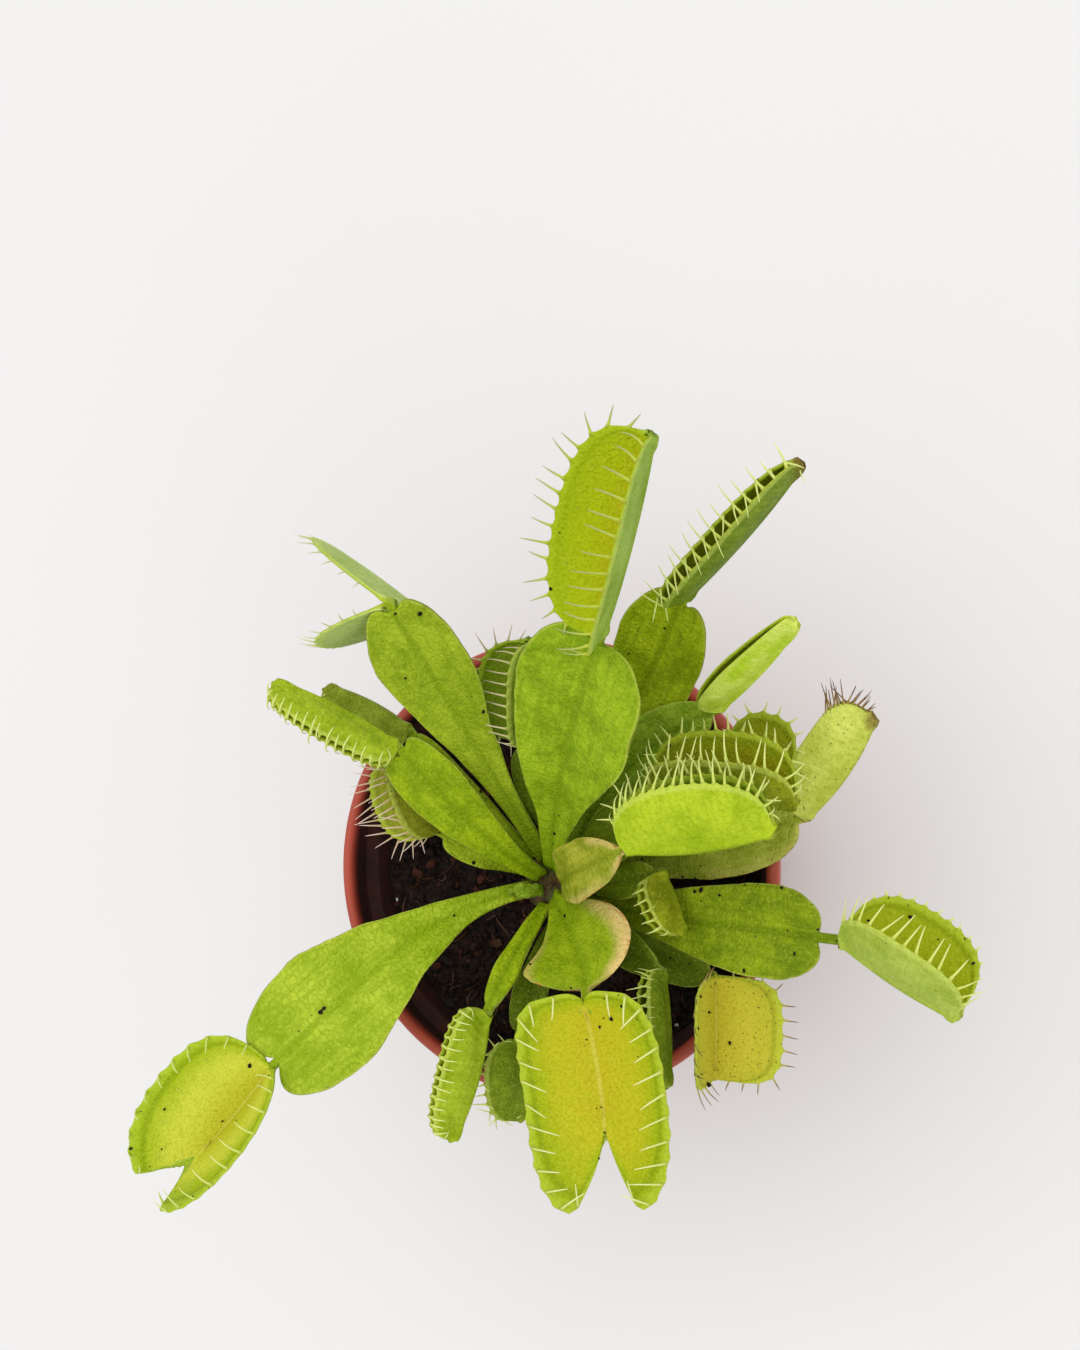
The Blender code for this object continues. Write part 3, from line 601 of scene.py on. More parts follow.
leaves = {
    "leaf_tall": dict(
        ring="inner", start=84, heading=59, reach=50, height=128, arch=12, half=12.4, widest=0.8, wedge=2.1,
        heart=0.35, stalk=2.2, fold=14, trap=38, thead=62, pitch=36, depth=12.5, mouth=-30, gape=(54, 36),
        gape2=(50, 34), over=0.22, sag=0.03, teeth=15, long=(4.2, 5.6), lean=(-5, 42), curl=(-15, 35),
        fan=(0.5, 1.3), look="tall"),
    "leaf_dark": dict(
        ring="outer", start=64, heading=55, reach=62, height=110, arch=-1, half=8.6, widest=0.8, heart=0.4, trap=35,
        thead=38, pitch=32, depth=12, mouth=-6, taper=0.35, gape=(36, -22), teeth=16, long=(5.6, 5.8),
        span=(0.05, 0.99), lean=(30, 50), curl=(15, 30), look="dark"),
    "leaf_horn": dict(
        ring="middle", start=44, heading=39, reach=51, height=102, arch=17, swing=16, half=6.5, widest=0.62,
        heart=0.1, trap=25.5, thead=38, pitch=36, depth=11, mouth=-26, square=1.1, gape=(42, -26), gape2=(34, -28),
        fore=0.1, taper=0.6, teeth=0, look="young"),
    "leaf_nest_front": dict(
        ring="inner", start=-4, heading=17, reach=25.5, height=109, arch=22, half=5.5, widest=0.55, heart=0.1,
        trap=27, thead=7, pitch=8, depth=13, mouth=-62, gape=(35, 0), gape2=(25, -20), teeth=19, long=(5.2, 5.6),
        lean=(0, 20), curl=(30, 50), fan=(0.05, 0.05), square=1, look="nestFront"),
    "leaf_nest_back": dict(
        ring="middle", start=12, heading=31, reach=33, height=101, arch=12, half=5, trap=25, thead=-4, pitch=4,
        depth=13.5, mouth=-42, gape=(42, 22), gape2=(22, -5), teeth=17, long=(3.4, 4.8), lean=(5, 15), curl=(25, 45),
        look="olive"),
    "leaf_nest_far": dict(
        ring="outer", start=39, heading=31, reach=43, height=89, arch=12, half=5, stalk=1.4, trap=13, thead=-20,
        pitch=4, depth=13, mouth=-40, gape=(60, 40), gape2=(40, 0), teeth=11, long=(2.2, 3.2), lean=(5, 30),
        curl=(5, 25), look="olive"),
    "leaf_nest_low": dict(
        ring="outer", start=-6, heading=6, reach=26.5, height=90, arch=24, half=3.5, stalk=1.3, trap=11, thead=-70,
        pitch=0, depth=7.6, mouth=44, gape=(36, -12), teeth=9, long=(3.4, 3.4), lean=(50, 60), curl=(40, 60),
        girth=0.16, taper=0.25, look="olive"),
    "leaf_burnt": dict(
        ring="outer", start=16, heading=14, reach=53.5, height=84, arch=4, half=7.5, stalk=1.4, widest=0.7,
        heart=0.2, trap=23, thead=53, pitch=15, depth=9.5, mouth=-78, gape=(26, 0), gape2=(20, -10), teeth=12,
        long=(4.4, 5.6), span=(0.68, 0.99), lean=(-10, 10), curl=(20, 30), girth=0.13, look="withered"),
    "leaf_right": dict(
        ring="outer", start=-33, heading=-8, reach=60, height=94, arch=14, half=8.2, widest=0.8, wedge=1.5,
        stalk=1.5, heart=0.36, neckLen=4, trap=23, thead=-32, pitch=5, depth=14, mouth=-48, gape=(62, 40),
        gape2=(30, 0), teeth=16, long=(1.1, 4.8), lean=(0, 30), curl=(0, 15), fan=(0.2, 0), look="right"),
    "leaf_slim": dict(
        ring="middle", start=-50, heading=-31, reach=30, height=88, half=3.5, stalk=1.3, trap=20, thead=-86, pitch=6,
        depth=8.5, mouth=22, gape=(32, -16), teeth=14, long=(4.2, 4.2), lean=(35, 45), curl=(20, 20), girth=0.16,
        taper=0.25, look="shade"),
    "leaf_speckled": dict(
        ring="outer", start=-64, heading=-26, reach=38, height=81, arch=0, half=4.5, stalk=1.4, trap=19, thead=-92,
        pitch=-6, depth=13, gape=(85, 82), gape2=(12, -5), teeth=13, long=(2.6, 4.4), lean=(-5, 10), curl=(-5, 20),
        girth=0.16, square=0.55, look="speckled"),
    "leaf_front": dict(
        ring="inner", start=-76, heading=-56, reach=26, height=99, arch=22, swing=28, swingEnd=32, half=10.6,
        widest=0.66, wedge=2.4, heart=0.02, neckLen=4, trap=20, thead=-83, pitch=-10, depth=14, gape=(78, 62),
        over=0.44, fore=0.72, teeth=13, span=(0.08, 0.8), long=(5.8, 5.8), lean=(125, 125), curl=(25, 25), rake=-0.7,
        fan=(-0.3, -0.3), square=0.6, bulge=1.2, look="front"),
    "leaf_front_left": dict(
        ring="middle", start=-112, heading=-108, reach=25, height=90, half=2.5, stalk=1.4, trap=24, thead=-104,
        pitch=5, depth=9.5, mouth=40, gape=(30, -18), taper=0.2, teeth=16, long=(4.6, 4.6), lean=(60, 55),
        curl=(95, 85), look="lush"),
    "leaf_front_hidden": dict(
        ring="outer", start=-92, heading=-98, reach=30, height=82, half=3.5, stalk=1.4, trap=15, thead=-89, pitch=-8,
        depth=9, mouth=40, teeth=12, long=(4, 4), lean=(30, 30), curl=(25, 25), girth=0.14, look="shade"),
    "leaf_long": dict(
        ring="middle", start=-165, heading=-143.5, reach=57, height=104, arch=16, swing=-28, swingEnd=-8, ease=0.3,
        easeEnd=0.5, half=12, widest=0.76, wedge=2.4, heart=0.4, neckLen=2, trap=20, thead=-130, pitch=2, depth=16,
        mouth=6, gape=(46, 34), gape2=(66, 50), fore=0.6, over=0.35, teeth=13, long=(4.4, 5), lean=(70, 80),
        curl=(40, 20), rake=0.3, bulge=3.4, look="long"),
    "leaf_left_high": dict(
        ring="inner", start=148, heading=128, reach=33, height=104, arch=22, half=5.8, widest=0.78, wedge=1.7,
        heart=0.46, trap=26, thead=152, pitch=12, depth=9.8, mouth=-37, taper=0.35, gape=(28, -10), gape2=(26, -24),
        teeth=17, long=(4.6, 5), lean=(50, 55), curl=(70, 85), look="lush"),
    "leaf_left_low": dict(
        ring="outer", start=135, heading=127, reach=37, height=94, half=3, stalk=1.4, trap=18, thead=152, pitch=10,
        depth=8, mouth=-62, teeth=11, long=(2.6, 2.6), lean=(35, 35), curl=(30, 30), look="dusty"),
    "leaf_left_inner": dict(
        ring="outer", start=160, heading=153, reach=22.5, height=84, half=3.5, stalk=1.4, trap=17, thead=108,
        pitch=8, depth=13, mouth=-50, gape=(60, 30), gape2=(50, 20), teeth=19, long=(5, 4), lean=(-5, 20),
        curl=(-5, 20), girth=0.16, look="pink"),
    "leaf_upper_left": dict(
        ring="middle", start=110, heading=106, reach=52.5, height=122, arch=6, swing=-3, half=8.5, widest=0.79,
        wedge=2.8, heart=0.38, trap=26, thead=165, pitch=-82, depth=20, depth2=24.5, gape=(38, 30), gape2=(26, 18),
        taper=0.15, teeth=17, long=(3.4, 3.4), lean=(15, 15), curl=(10, 10), girth=0.15, look="pale"),
    "leaf_back": dict(
        ring="outer", start=91, heading=86, reach=28, height=92, half=5, stalk=1.4, trap=19, thead=82, pitch=22,
        depth=11, mouth=-20, gape=(60, 35), gape2=(30, -10), teeth=14, long=(5.2, 5), lean=(0, 60), curl=(0, 25),
        girth=0.15, look="back"),
    "leaf_young": dict(
        ring="inner", start=210, heading=190, reach=8, height=78, arch=40, half=1.5, stalk=1.1, neck=0.5, heart=0.05,
        look="young"),
}
rings = {"inner": (2.9, 5.5), "middle": (5.0, 4.0), "outer": (7.4, 1.6)}


def petioleSpine(leaf):
    # points of a cubic Bezier from crown to joint, with forward, left and up at each; it leaves above the straight
    # line by arch and beside it by swing, and arrives below it
    radius, rise = rings[leaf["ring"]]
    start = np.array([crown["x"], crown["y"], crownBase + rise]) + radius * aim(leaf["start"], 0)
    joint = np.array([crown["x"], crown["y"], leaf["height"]]) + leaf["reach"] * aim(leaf["heading"], 0)
    chord = joint - start
    span = np.linalg.norm(chord)
    heading = math.degrees(math.atan2(chord[1], chord[0]))
    pitch = math.degrees(math.asin(chord[2] / span))
    swingEnd = leaf["swing"] if leaf["swingEnd"] is None else leaf["swingEnd"]
    leavesAt, arrivesAt = heading + leaf["swing"], heading - swingEnd
    first = start + leaf["ease"] * span * aim(leavesAt, pitch + leaf["arch"])
    second = joint - leaf["easeEnd"] * span * aim(arrivesAt, pitch - leaf["arch"])
    t = np.linspace(0, 1, 241)[:, None]
    curve = (1 - t) ** 3 * start + 3 * (1 - t) ** 2 * t * first + 3 * (1 - t) * t ** 2 * second + t ** 3 * joint
    travelled = np.concatenate([[0], np.cumsum(np.linalg.norm(np.diff(curve, axis=0), axis=1))])
    way = np.radians(leavesAt + (arrivesAt - leavesAt) * travelled / travelled[-1])
    level = np.stack([-np.sin(way), np.cos(way), 0 * way], -1)
    forward = unit(np.gradient(curve, axis=0))
    side = unit(level - (level * forward).sum(-1, keepdims=True) * forward)
    return travelled, curve, forward, side, np.cross(forward, side)


def bladeGrid(leaf, columns, seed):
    # a wedge up to the widest place, then two rounded shoulders, each half an ellipse whose centre stands off the
    # midrib, so that they pass the neck as a heart's do; last a short neck up to the joint
    travelled, curve, forward, side, up = petioleSpine(leaf)
    length = travelled[-1]
    widest, bladeEnd = leaf["widest"] * length, length - leaf["neckLen"]
    rise = np.linspace(0, 1, 38)
    wedgeAcross = leaf["stalk"] + (leaf["half"] - leaf["stalk"]) * np.sin(math.pi / 2 * rise ** leaf["wedge"])
    centre = leaf["heart"] * leaf["half"]
    swell = leaf["half"] - centre
    endAngle = math.acos(max(-(centre - leaf["neck"]) / swell, -0.985))
    share = np.linspace(0, 1, 27)[1:]
    shoulderAlong = widest + (bladeEnd - widest) / math.sin(endAngle) * np.sin(endAngle * share)
    neckAlong = bladeEnd + leaf["neckLen"] * np.linspace(0, 0.94, 5)[1:]
    midrib = np.concatenate([rise * widest, widest + (bladeEnd - widest) * share ** 1.2, neckAlong])[:, None]
    edgeAlong = np.concatenate([rise * widest, shoulderAlong, neckAlong])[:, None]
    edgeAcross = np.concatenate([wedgeAcross, centre + swell * np.cos(endAngle * share), 0 * neckAlong + leaf["neck"]])
    edgeAcross = edgeAcross[:, None]
    out, sign = np.abs(columns), np.sign(columns)
    along = midrib + (edgeAlong - midrib) * out ** 1.5
    uneven = 0.05 * bumps(along, sign * 40, 9.0, seed + 4) + 0.024 * bumps(along, sign * 40, 4.0, seed)
    uneven = 1 + (uneven + 0.011 * bumps(along, sign * 40, 1.4, seed + 1)) * smooth(edgeAcross, 1.5, 4)
    across = edgeAcross * columns * uneven
    ripple = np.sin(along / length * turn * 2.2 + sign * 1.3)
    lift = np.abs(across) * math.tan(math.radians(leaf["fold"])) * (1 - 0.25 * out)
    lift = lift + leaf["wave"] * ripple * out ** 2 * edgeAcross / leaf["half"]
    opened = smooth(edgeAcross, 1.5, 4) * smooth(out, 0.02, 0.25)
    lift = lift + leaf["crinkle"] * bumps(along - out * 2, across, 3.1, seed + 2) * opened
    lift = lift + leaf["crinkle"] * 2.2 * bumps(along, across, 8.0, seed + 3) * opened * out
    inside = np.clip(along, 0, length)
    frameThere = [np.stack([np.interp(inside, travelled, values[:, i]) for i in range(3)], -1)
                  for values in (curve, forward, side, up)]
    points = frameThere[0] + (along - inside)[..., None] * unit(frameThere[1])
    points = points + across[..., None] * unit(frameThere[2]) + lift[..., None] * unit(frameThere[3])
    return points, across, along, edgeAcross * np.ones_like(across)


def trapGrid(leaf, columns):
    # each lobe is half an oval set off the midrib, bent along an arc whose angle from the mouth's axis turns evenly
    # from midrib to margin
    length, depth = leaf["trap"], leaf["depth"]
    joint = np.array([crown["x"], crown["y"], leaf["height"]]) + leaf["reach"] * aim(leaf["heading"], 0)
    otherSide = (leaf["depth2"] or depth) / depth
    neck, centre = 0.6, depth * leaf["over"]
    swell = depth - centre
    startAngle = math.asin(min((centre - neck) / swell, 0.97))
    travel = np.linspace(0.035, 1, 112)
    angle = -startAngle + (math.pi + 2 * startAngle) * travel
    reach = length / 2 / math.cos(startAngle)
    edgeAlong = length / 2 - reach * signedPower(np.cos(angle), leaf["square"])
    edgeDepth = np.maximum(centre + swell * signedPower(np.sin(angle), leaf["square"]), 0.5)
    edgeDepth = edgeDepth * (1 - leaf["taper"] * travel)
    edgeAlong = edgeAlong + leaf["fore"] * length * travel ** 2 * np.minimum(1, edgeDepth / centre)
    out = np.abs(columns)
    midrib = (length * travel)[:, None]
    along = midrib + (edgeAlong[:, None] - midrib) * out ** 1.3
    along = along + leaf["bulge"] * (np.sin(math.pi * out) * smooth(travel, 0.72, 1)[:, None])
    gape, gape2 = leaf["gape"], leaf["gape2"] or leaf["gape"]
    atMidrib = np.radians(np.where(columns < 0, gape2[0], gape[0]))
    bend = np.radians(np.where(columns < 0, gape2[1], gape[1])) - atMidrib
    reached = atMidrib + bend * out
    sideways = np.sign(columns) * (np.cos(atMidrib) - np.cos(reached)) / bend
    outwards = (np.sin(reached) - np.sin(atMidrib)) / bend
    sag = -4 * leaf["sag"] * length * (along / length) * (1 - along / length)
    forward, level = aim(leaf["thead"], leaf["pitch"]), aim(leaf["thead"] + 90, 0)
    lifted = np.cross(forward, level)
    roll = math.radians(leaf["mouth"])
    side = level * math.cos(roll) + lifted * math.sin(roll)
    mouth = lifted * math.cos(roll) - level * math.sin(roll)
    lobe = edgeDepth[:, None] * np.where(columns < 0, otherSide, 1)
    if leaf["teeth"]:
        path = np.stack([edgeAlong, edgeDepth], -1)
        distance = np.concatenate([[0], np.cumsum(np.linalg.norm(np.diff(path, axis=0), axis=1))])
        beat = (distance / distance[-1] - leaf["span"][0]) / (leaf["span"][1] - leaf["span"][0])
        scallop = np.clip(0.5 + 0.5 * np.cos(turn * beat * (leaf["teeth"] - 1)), 0, 1) ** 2
        scallop = scallop * smooth(beat, -0.03, 0.02) * smooth(beat, 1.03, 0.98)
        lobe = lobe + 0.42 * scallop[:, None] * smooth(out, 0.86, 1)
    width, height = lobe * sideways, lobe * outwards + sag
    points = joint + along[..., None] * forward + width[..., None] * side + height[..., None] * mouth
    return points, lobe * columns, along, lobe * np.ones_like(out)


def normalsOf(points, columns):
    # the cross product of the steps along rows and along columns, evened out over neighbouring rows
    down = np.gradient(points, axis=0)
    across = np.gradient(points, columns, axis=1)
    normals = unit(np.cross(down, across))
    for _ in range(2):
        padded = np.concatenate([normals[:1], normals, normals[-1:]])
        normals = unit(padded[:-2] + 2 * normals + padded[2:])
    return normals


def spikes(base, out, inward, along, size, lean, curl, girth):
    # each spike's middle is an arc: it leaves along out turned by lean towards inward, and turns on by curl; its
    # section is an oval that narrows to the tip
    count, rings, sides = len(base), 7, 5
    t = np.linspace(0, 1, rings)[None, :, None]
    lean, curl = lean[:, None, None], np.where(np.abs(curl) < 0.01, 0.01, curl)[:, None, None]
    size, girth = size[:, None, None], girth[:, None, None]
    out, inward, along = out[:, None], inward[:, None], along[:, None]
    angle = lean + curl * t
    middle = base[:, None] + size * ((np.sin(angle) - np.sin(lean)) / curl * out
                                     + (np.cos(lean) - np.cos(angle)) / curl * inward)
    direction = np.cos(angle) * out + np.sin(angle) * inward
    first = unit(along - (along * direction).sum(-1, keepdims=True) * direction)
    second = np.cross(direction, first)
    radius = girth * (1 - 0.72 * t ** 1.6) * (1 + 0.9 * np.exp(-11 * t))
    phi = (np.arange(sides) / sides * turn)[None, None, :, None]
    ring = middle[:, :, None] + radius[..., None] * (1.15 * np.cos(phi) * first[:, :, None]
                                                     + 0.85 * np.sin(phi) * second[:, :, None])
    tip = middle[:, -1] + direction[:, -1] * girth[:, 0] * 1.2
    points = np.concatenate([ring.reshape(count, -1, 3), tip[:, None]], 1)
    quads = np.array(gridFaces(rings, sides, closed=True))[:, ::-1]
    each = rings * sides + 1
    start = (np.arange(count) * each)[:, None]
    ends = (rings - 1) * sides
    faces = (quads[None] + start[..., None]).reshape(-1, 4).tolist()
    faces += (np.arange(sides)[::-1][None] + start).tolist()
    for c in range(sides):
        faces += (np.array([ends + c, ends + (c + 1) % sides, each - 1])[None] + start).tolist()
    share = np.concatenate([np.repeat(np.linspace(0, 1, rings), sides), [1]])
    return points.reshape(-1, 3), faces, np.tile(share, count)


def marginTeeth(leaf, grid, normals, rng):
    # teeth evenly spaced along both margins, longest in the middle, leaving in the lobe's own direction
    parts = []
    for which, column, inner in ((0, -1, -5), (1, 0, 4)):
        edge = grid[:, column]
        outward = unit(edge - grid[:, inner])
        along = unit(np.gradient(edge, axis=0))
        outward = unit(outward - (outward * along).sum(-1, keepdims=True) * along)
        distance = np.concatenate([[0], np.cumsum(np.linalg.norm(np.diff(edge, axis=0), axis=1))])
        places = np.linspace(*leaf["span"], leaf["teeth"]) + rng.uniform(-0.006, 0.006, leaf["teeth"])
        at = places * distance[-1]
        pick = lambda values: np.stack([np.interp(at, distance, values[:, i]) for i in range(3)], -1)
        base, out, inward, way = pick(edge), unit(pick(outward)), unit(pick(normals[:, inner])), unit(pick(along))
        tilt = leaf["rake"] + leaf["fan"][which] * (2 * places - 1) + 0.06 * rng.normal(size=len(at))
        out = unit(out + tilt[:, None] * way)
        inward = unit(inward - (inward * out).sum(-1, keepdims=True) * out)
        size = leaf["long"][which] * (0.62 + 0.45 * np.sin(math.pi * places)) * rng.uniform(0.82, 1.12, len(at))
        lean = np.radians(leaf["lean"][which] + rng.normal(0, 5, len(at)))
        curl = np.radians(leaf["curl"][which] + rng.normal(0, 9, len(at)))
        girth = leaf["girth"] * rng.uniform(0.9, 1.1, len(at))
        parts.append((base - out * 0.25, out, inward, way, size, lean, curl, girth))
    return spikes(*[np.concatenate(values) for values in zip(*parts)])


def triggerHairs(grid, normals, rng):
    # three short hairs standing on the inner face of each lobe
    rows = (np.array([0.36, 0.52, 0.67]) * len(grid)).astype(int)
    columns = grid.shape[1]
    picked = [(r, c) for c in (columns // 4, columns - 1 - columns // 4) for r in rows]
    r, c = np.array(picked).T
    base, out = grid[r, c], normals[r, c]
    way = unit(grid[np.minimum(r + 1, len(grid) - 1), c] - base)
    six = np.ones(6)
    return spikes(base, out, np.cross(out, way), way, 1.3 * six, rng.normal(0, 0.2, 6), 0.3 * six, 0.07 * six)


sheet = {"half": 0.34, "groove": 0.16, "rib": 0.62, "narrowAbove": 0.3, "narrowBelow": 0.35, "edge": 0.45,
         "lip": 0.06, "pleat": 0.09, "lobeThinner": 0.07}


def leafBody(name, leaf):
    seed = 100 + 10 * list(leaves).index(name)
    rng = np.random.default_rng(seed)
    half = np.array([0, 0.04, 0.09, 0.16, 0.24, 0.33, 0.42, 0.51, 0.6, 0.68, 0.75, 0.81, 0.86, 0.9, 0.93, 0.955,
                     0.975, 0.988, 0.996, 1])
    flat = np.concatenate([-half[:0:-1], half])
    columns = flat[None]
    grid, across, along, edge = bladeGrid(leaf, columns, seed)
    bladeRows = len(grid)
    onTrap = np.zeros_like(across)
    if leaf["trap"]:
        lobes, lobeAcross, lobeAlong, lobeEdge = trapGrid(leaf, columns)
        share = np.linspace(0, 1, 5)[1:-1, None]
        neckRows = lambda a, b: a[-1][None] * (1 - share) + b[0][None] * share
        bridge = grid[-1][None] * (1 - share[..., None]) + lobes[0][None] * share[..., None]
        grid = np.concatenate([grid, bridge, lobes])
        across = np.concatenate([across, neckRows(across, lobeAcross), lobeAcross])
        along = np.concatenate([along, neckRows(along, lobeAlong + along[-1]), lobeAlong])
        edge = np.concatenate([edge, neckRows(edge, lobeEdge), lobeEdge])
        onTrap = np.concatenate([onTrap, share * np.ones_like(columns), np.ones_like(lobeAcross)])
    normals = normalsOf(grid, flat)
    out = np.abs(columns)
    offMidrib = np.abs(across)
    # half thickness above and below the middle sheet: a rib under the midrib, a groove over it, thin towards the
    # margin, and a rounded edge
    fromCurve = np.clip((offMidrib - (edge - sheet["edge"])) / sheet["edge"], 0, 1)
    rounding = np.sqrt(np.clip(1 - fromCurve ** 2, 0, 1))
    narrow = 1 - smooth(edge, 1.2, 4)
    rib = np.exp(-(offMidrib / 0.9) ** 2)
    groove = np.exp(-(offMidrib / 0.45) ** 2) * (1 - narrow)
    above = sheet["half"] - sheet["groove"] * groove + sheet["narrowAbove"] * narrow
    below = sheet["half"] + sheet["rib"] * rib + sheet["narrowBelow"] * narrow
    lobe = smooth(onTrap, 0.9, 1) * (1 - narrow)  # 1 on the lobes, 0 on the blade and the neck
    band = np.exp(-((out - 0.925) / 0.035) ** 2) - 0.8 * np.exp(-((out - 0.85) / 0.03) ** 2)
    pleats = 0.5 + 0.5 * np.cos(turn * np.clip(np.arange(len(grid)) - bladeRows - 3, 0, None)[:, None] / 111
                                * max(leaf["teeth"], 8))
    ridges = pleats * np.sin(math.pi * out) * smooth(out, 0.15, 0.4)
    above = above + lobe * (sheet["lip"] * band - sheet["lobeThinner"])
    below = below + lobe * (sheet["pleat"] * ridges - sheet["lobeThinner"] + 0.05 * band)
    above, below = above * rounding, below * rounding
    above[:, [0, -1]] = 0
    below[:, [0, -1]] = 0
    rows, width = above.shape
    top, bottom = grid + normals * above[..., None], grid - normals * below[..., None]
    points = np.concatenate([top.reshape(-1, 3), bottom[:, 1:-1].reshape(-1, 3)])
    topIndex = np.arange(rows * width).reshape(rows, width)
    lowIndex = topIndex.copy()
    lowIndex[:, 1:-1] = rows * width + np.arange(rows * (width - 2)).reshape(rows, width - 2)
    quads = lambda index: np.stack([index[:-1, :-1], index[1:, :-1], index[1:, 1:], index[:-1, 1:]], -1)
    faces = quads(topIndex).reshape(-1, 4).tolist() + quads(lowIndex)[..., ::-1].reshape(-1, 4).tolist()
    for row, order in ((0, 1), (-1, -1)):
        t, b = topIndex[row], lowIndex[row]
        for c in range(width - 1):
            loop = list(dict.fromkeys([t[c], t[c + 1], b[c + 1], b[c]]))
            faces.append([int(v) for v in loop[::order]])
    if leaf["trap"]:
        onTrap[bladeRows + 3:] = 1 + np.linspace(0, 1, len(onTrap) - bladeRows - 3)[:, None]
    place = np.stack([across, along, columns * np.ones_like(across)], -1) * (mm, mm, 1)
    part = np.stack([onTrap, np.ones_like(onTrap), 0 * onTrap], -1)
    under = part * (1, 0, 1)
    place = np.concatenate([place.reshape(-1, 3), place[:, 1:-1].reshape(-1, 3)])
    part = np.concatenate([part.reshape(-1, 3), under[:, 1:-1].reshape(-1, 3)])
    if leaf["trap"]:
        trapRows, trapNormals = grid[bladeRows + 3:], normals[bladeRows + 3:]
        sets = [marginTeeth(leaf, trapRows, trapNormals, rng)] if leaf["teeth"] else []
        if leaf["gape"][1] > 15 and leaf["teeth"]:
            sets.append(triggerHairs(trapRows, trapNormals, rng))
        for morePoints, moreFaces, share in sets:
            start = len(points)
            points = np.concatenate([points, morePoints])
            faces += [[v + start for v in face] for face in moreFaces]
            place = np.concatenate([place, np.zeros((len(share), 3))])
            part = np.concatenate([part, np.stack([1.5 + 0 * share, 1 + 0 * share, 0.15 + 0.85 * share], -1)])
    return points * mm, faces, {"place": place, "part": part}, (grid * mm, normals)


# screen colours of a leaf: light and dark of the blade and of the lobes' outside, margin and middle of their inside,
# the flush along the midrib, root and tip of the teeth; then shares of lip band, net, specks, scorched edge, dust,
# burnt trap tip and brown blush at the trap's neck
usualLook = {
    "blade": ((172, 194, 36), (128, 154, 8)), "outside": ((176, 200, 58), (138, 166, 26)),
    "inside": ((164, 182, 18), (190, 192, 24)), "flush": ((196, 176, 30), 0.2),
    "teeth": ((210, 224, 108), (232, 238, 152)), "lip": 0.35, "net": 0.16, "specks": 0.3, "scorch": 0,
    "dust": 0, "tip": 0, "blush": 0,
}
looks = {
    "lush": dict(
        blade=((168, 192, 18), (120, 148, 0)), outside=((184, 206, 48), (138, 164, 8)), specks=0.35),
    "tall": dict(
        blade=((164, 194, 30), (118, 150, 0)), outside=((164, 194, 82), (132, 164, 48)),
        inside=((166, 188, 4), (182, 196, 0)), flush=((204, 166, 4), 0.4), lip=0.08,
        teeth=((190, 206, 70), (176, 180, 120)), specks=0.2),
    "dark": dict(
        blade=((176, 196, 24), (126, 146, 0)), outside=((132, 156, 40), (92, 118, 14)), specks=0.6, tip=1),
    "young": dict(
        blade=((150, 178, 50), (112, 142, 20)), outside=((226, 242, 116), (182, 212, 40)), specks=0.1),
    "nestFront": dict(
        blade=((186, 186, 60), (122, 140, 8)), outside=((188, 210, 42), (150, 178, 14)),
        inside=((120, 146, 8), (132, 144, 8)), scorch=0.6),
    "olive": dict(
        blade=((120, 140, 24), (88, 108, 8)), outside=((158, 168, 26), (116, 128, 6)),
        inside=((140, 150, 14), (150, 146, 10)), specks=0.6, dust=0.35),
    # painted shade: darker copies of the leaf colours for leaves that lie in shadow
    "shade": dict(
        blade=((112, 134, 16), (78, 100, 4)), outside=((140, 160, 34), (96, 118, 10)),
        inside=((110, 126, 10), (112, 118, 8)), specks=0.4),
    "withered": dict(
        blade=((190, 202, 78), (144, 160, 36)), outside=((222, 230, 110), (180, 194, 60)),
        inside=((160, 160, 40), (150, 142, 30)), teeth=((170, 140, 84), (104, 62, 46)), specks=0.9, dust=0.5,
        scorch=0.25, tip=0.9),
    "right": dict(
        blade=((150, 170, 20), (104, 128, 2)), outside=((188, 208, 90), (160, 182, 58)),
        inside=((158, 174, 10), (174, 184, 12)), specks=0.9),
    "speckled": dict(
        blade=((116, 136, 20), (84, 104, 6)), inside=((192, 188, 50), (204, 194, 56)),
        outside=((160, 160, 50), (112, 112, 24)), teeth=((196, 184, 96), (116, 84, 60)), specks=1, dust=1),
    "front": dict(
        blade=((160, 182, 20), (122, 148, 2)), inside=((162, 182, 8), (192, 188, 26)), flush=((196, 168, 22), 0.32),
        scorch=1, blush=0.9, teeth=((208, 218, 110), (240, 242, 178)), specks=0.5),
    "long": dict(
        blade=((188, 208, 56), (138, 168, 12)), net=0.5, inside=((166, 190, 16), (214, 218, 70)),
        flush=((182, 174, 4), 0.65), specks=0.7),
    "dusty": dict(
        outside=((166, 186, 60), (120, 136, 26)), specks=0.9, dust=0.6, tip=0.3),
    "pink": dict(
        inside=((150, 156, 40), (146, 148, 14)), outside=((160, 164, 40), (112, 118, 16)),
        teeth=((196, 172, 128), (236, 210, 196)), specks=0.8, dust=0.6),
    "pale": dict(
        blade=((166, 188, 38), (126, 152, 12)), outside=((196, 216, 132), (160, 188, 84)), specks=0.4,
        teeth=((200, 208, 130), (220, 214, 170))),
    "back": dict(
        blade=((116, 140, 26), (84, 108, 8)), outside=((140, 164, 40), (104, 130, 14)),
        inside=((120, 150, 20), (140, 164, 36)), teeth=((206, 200, 140), (222, 196, 176)), specks=0.7),
}


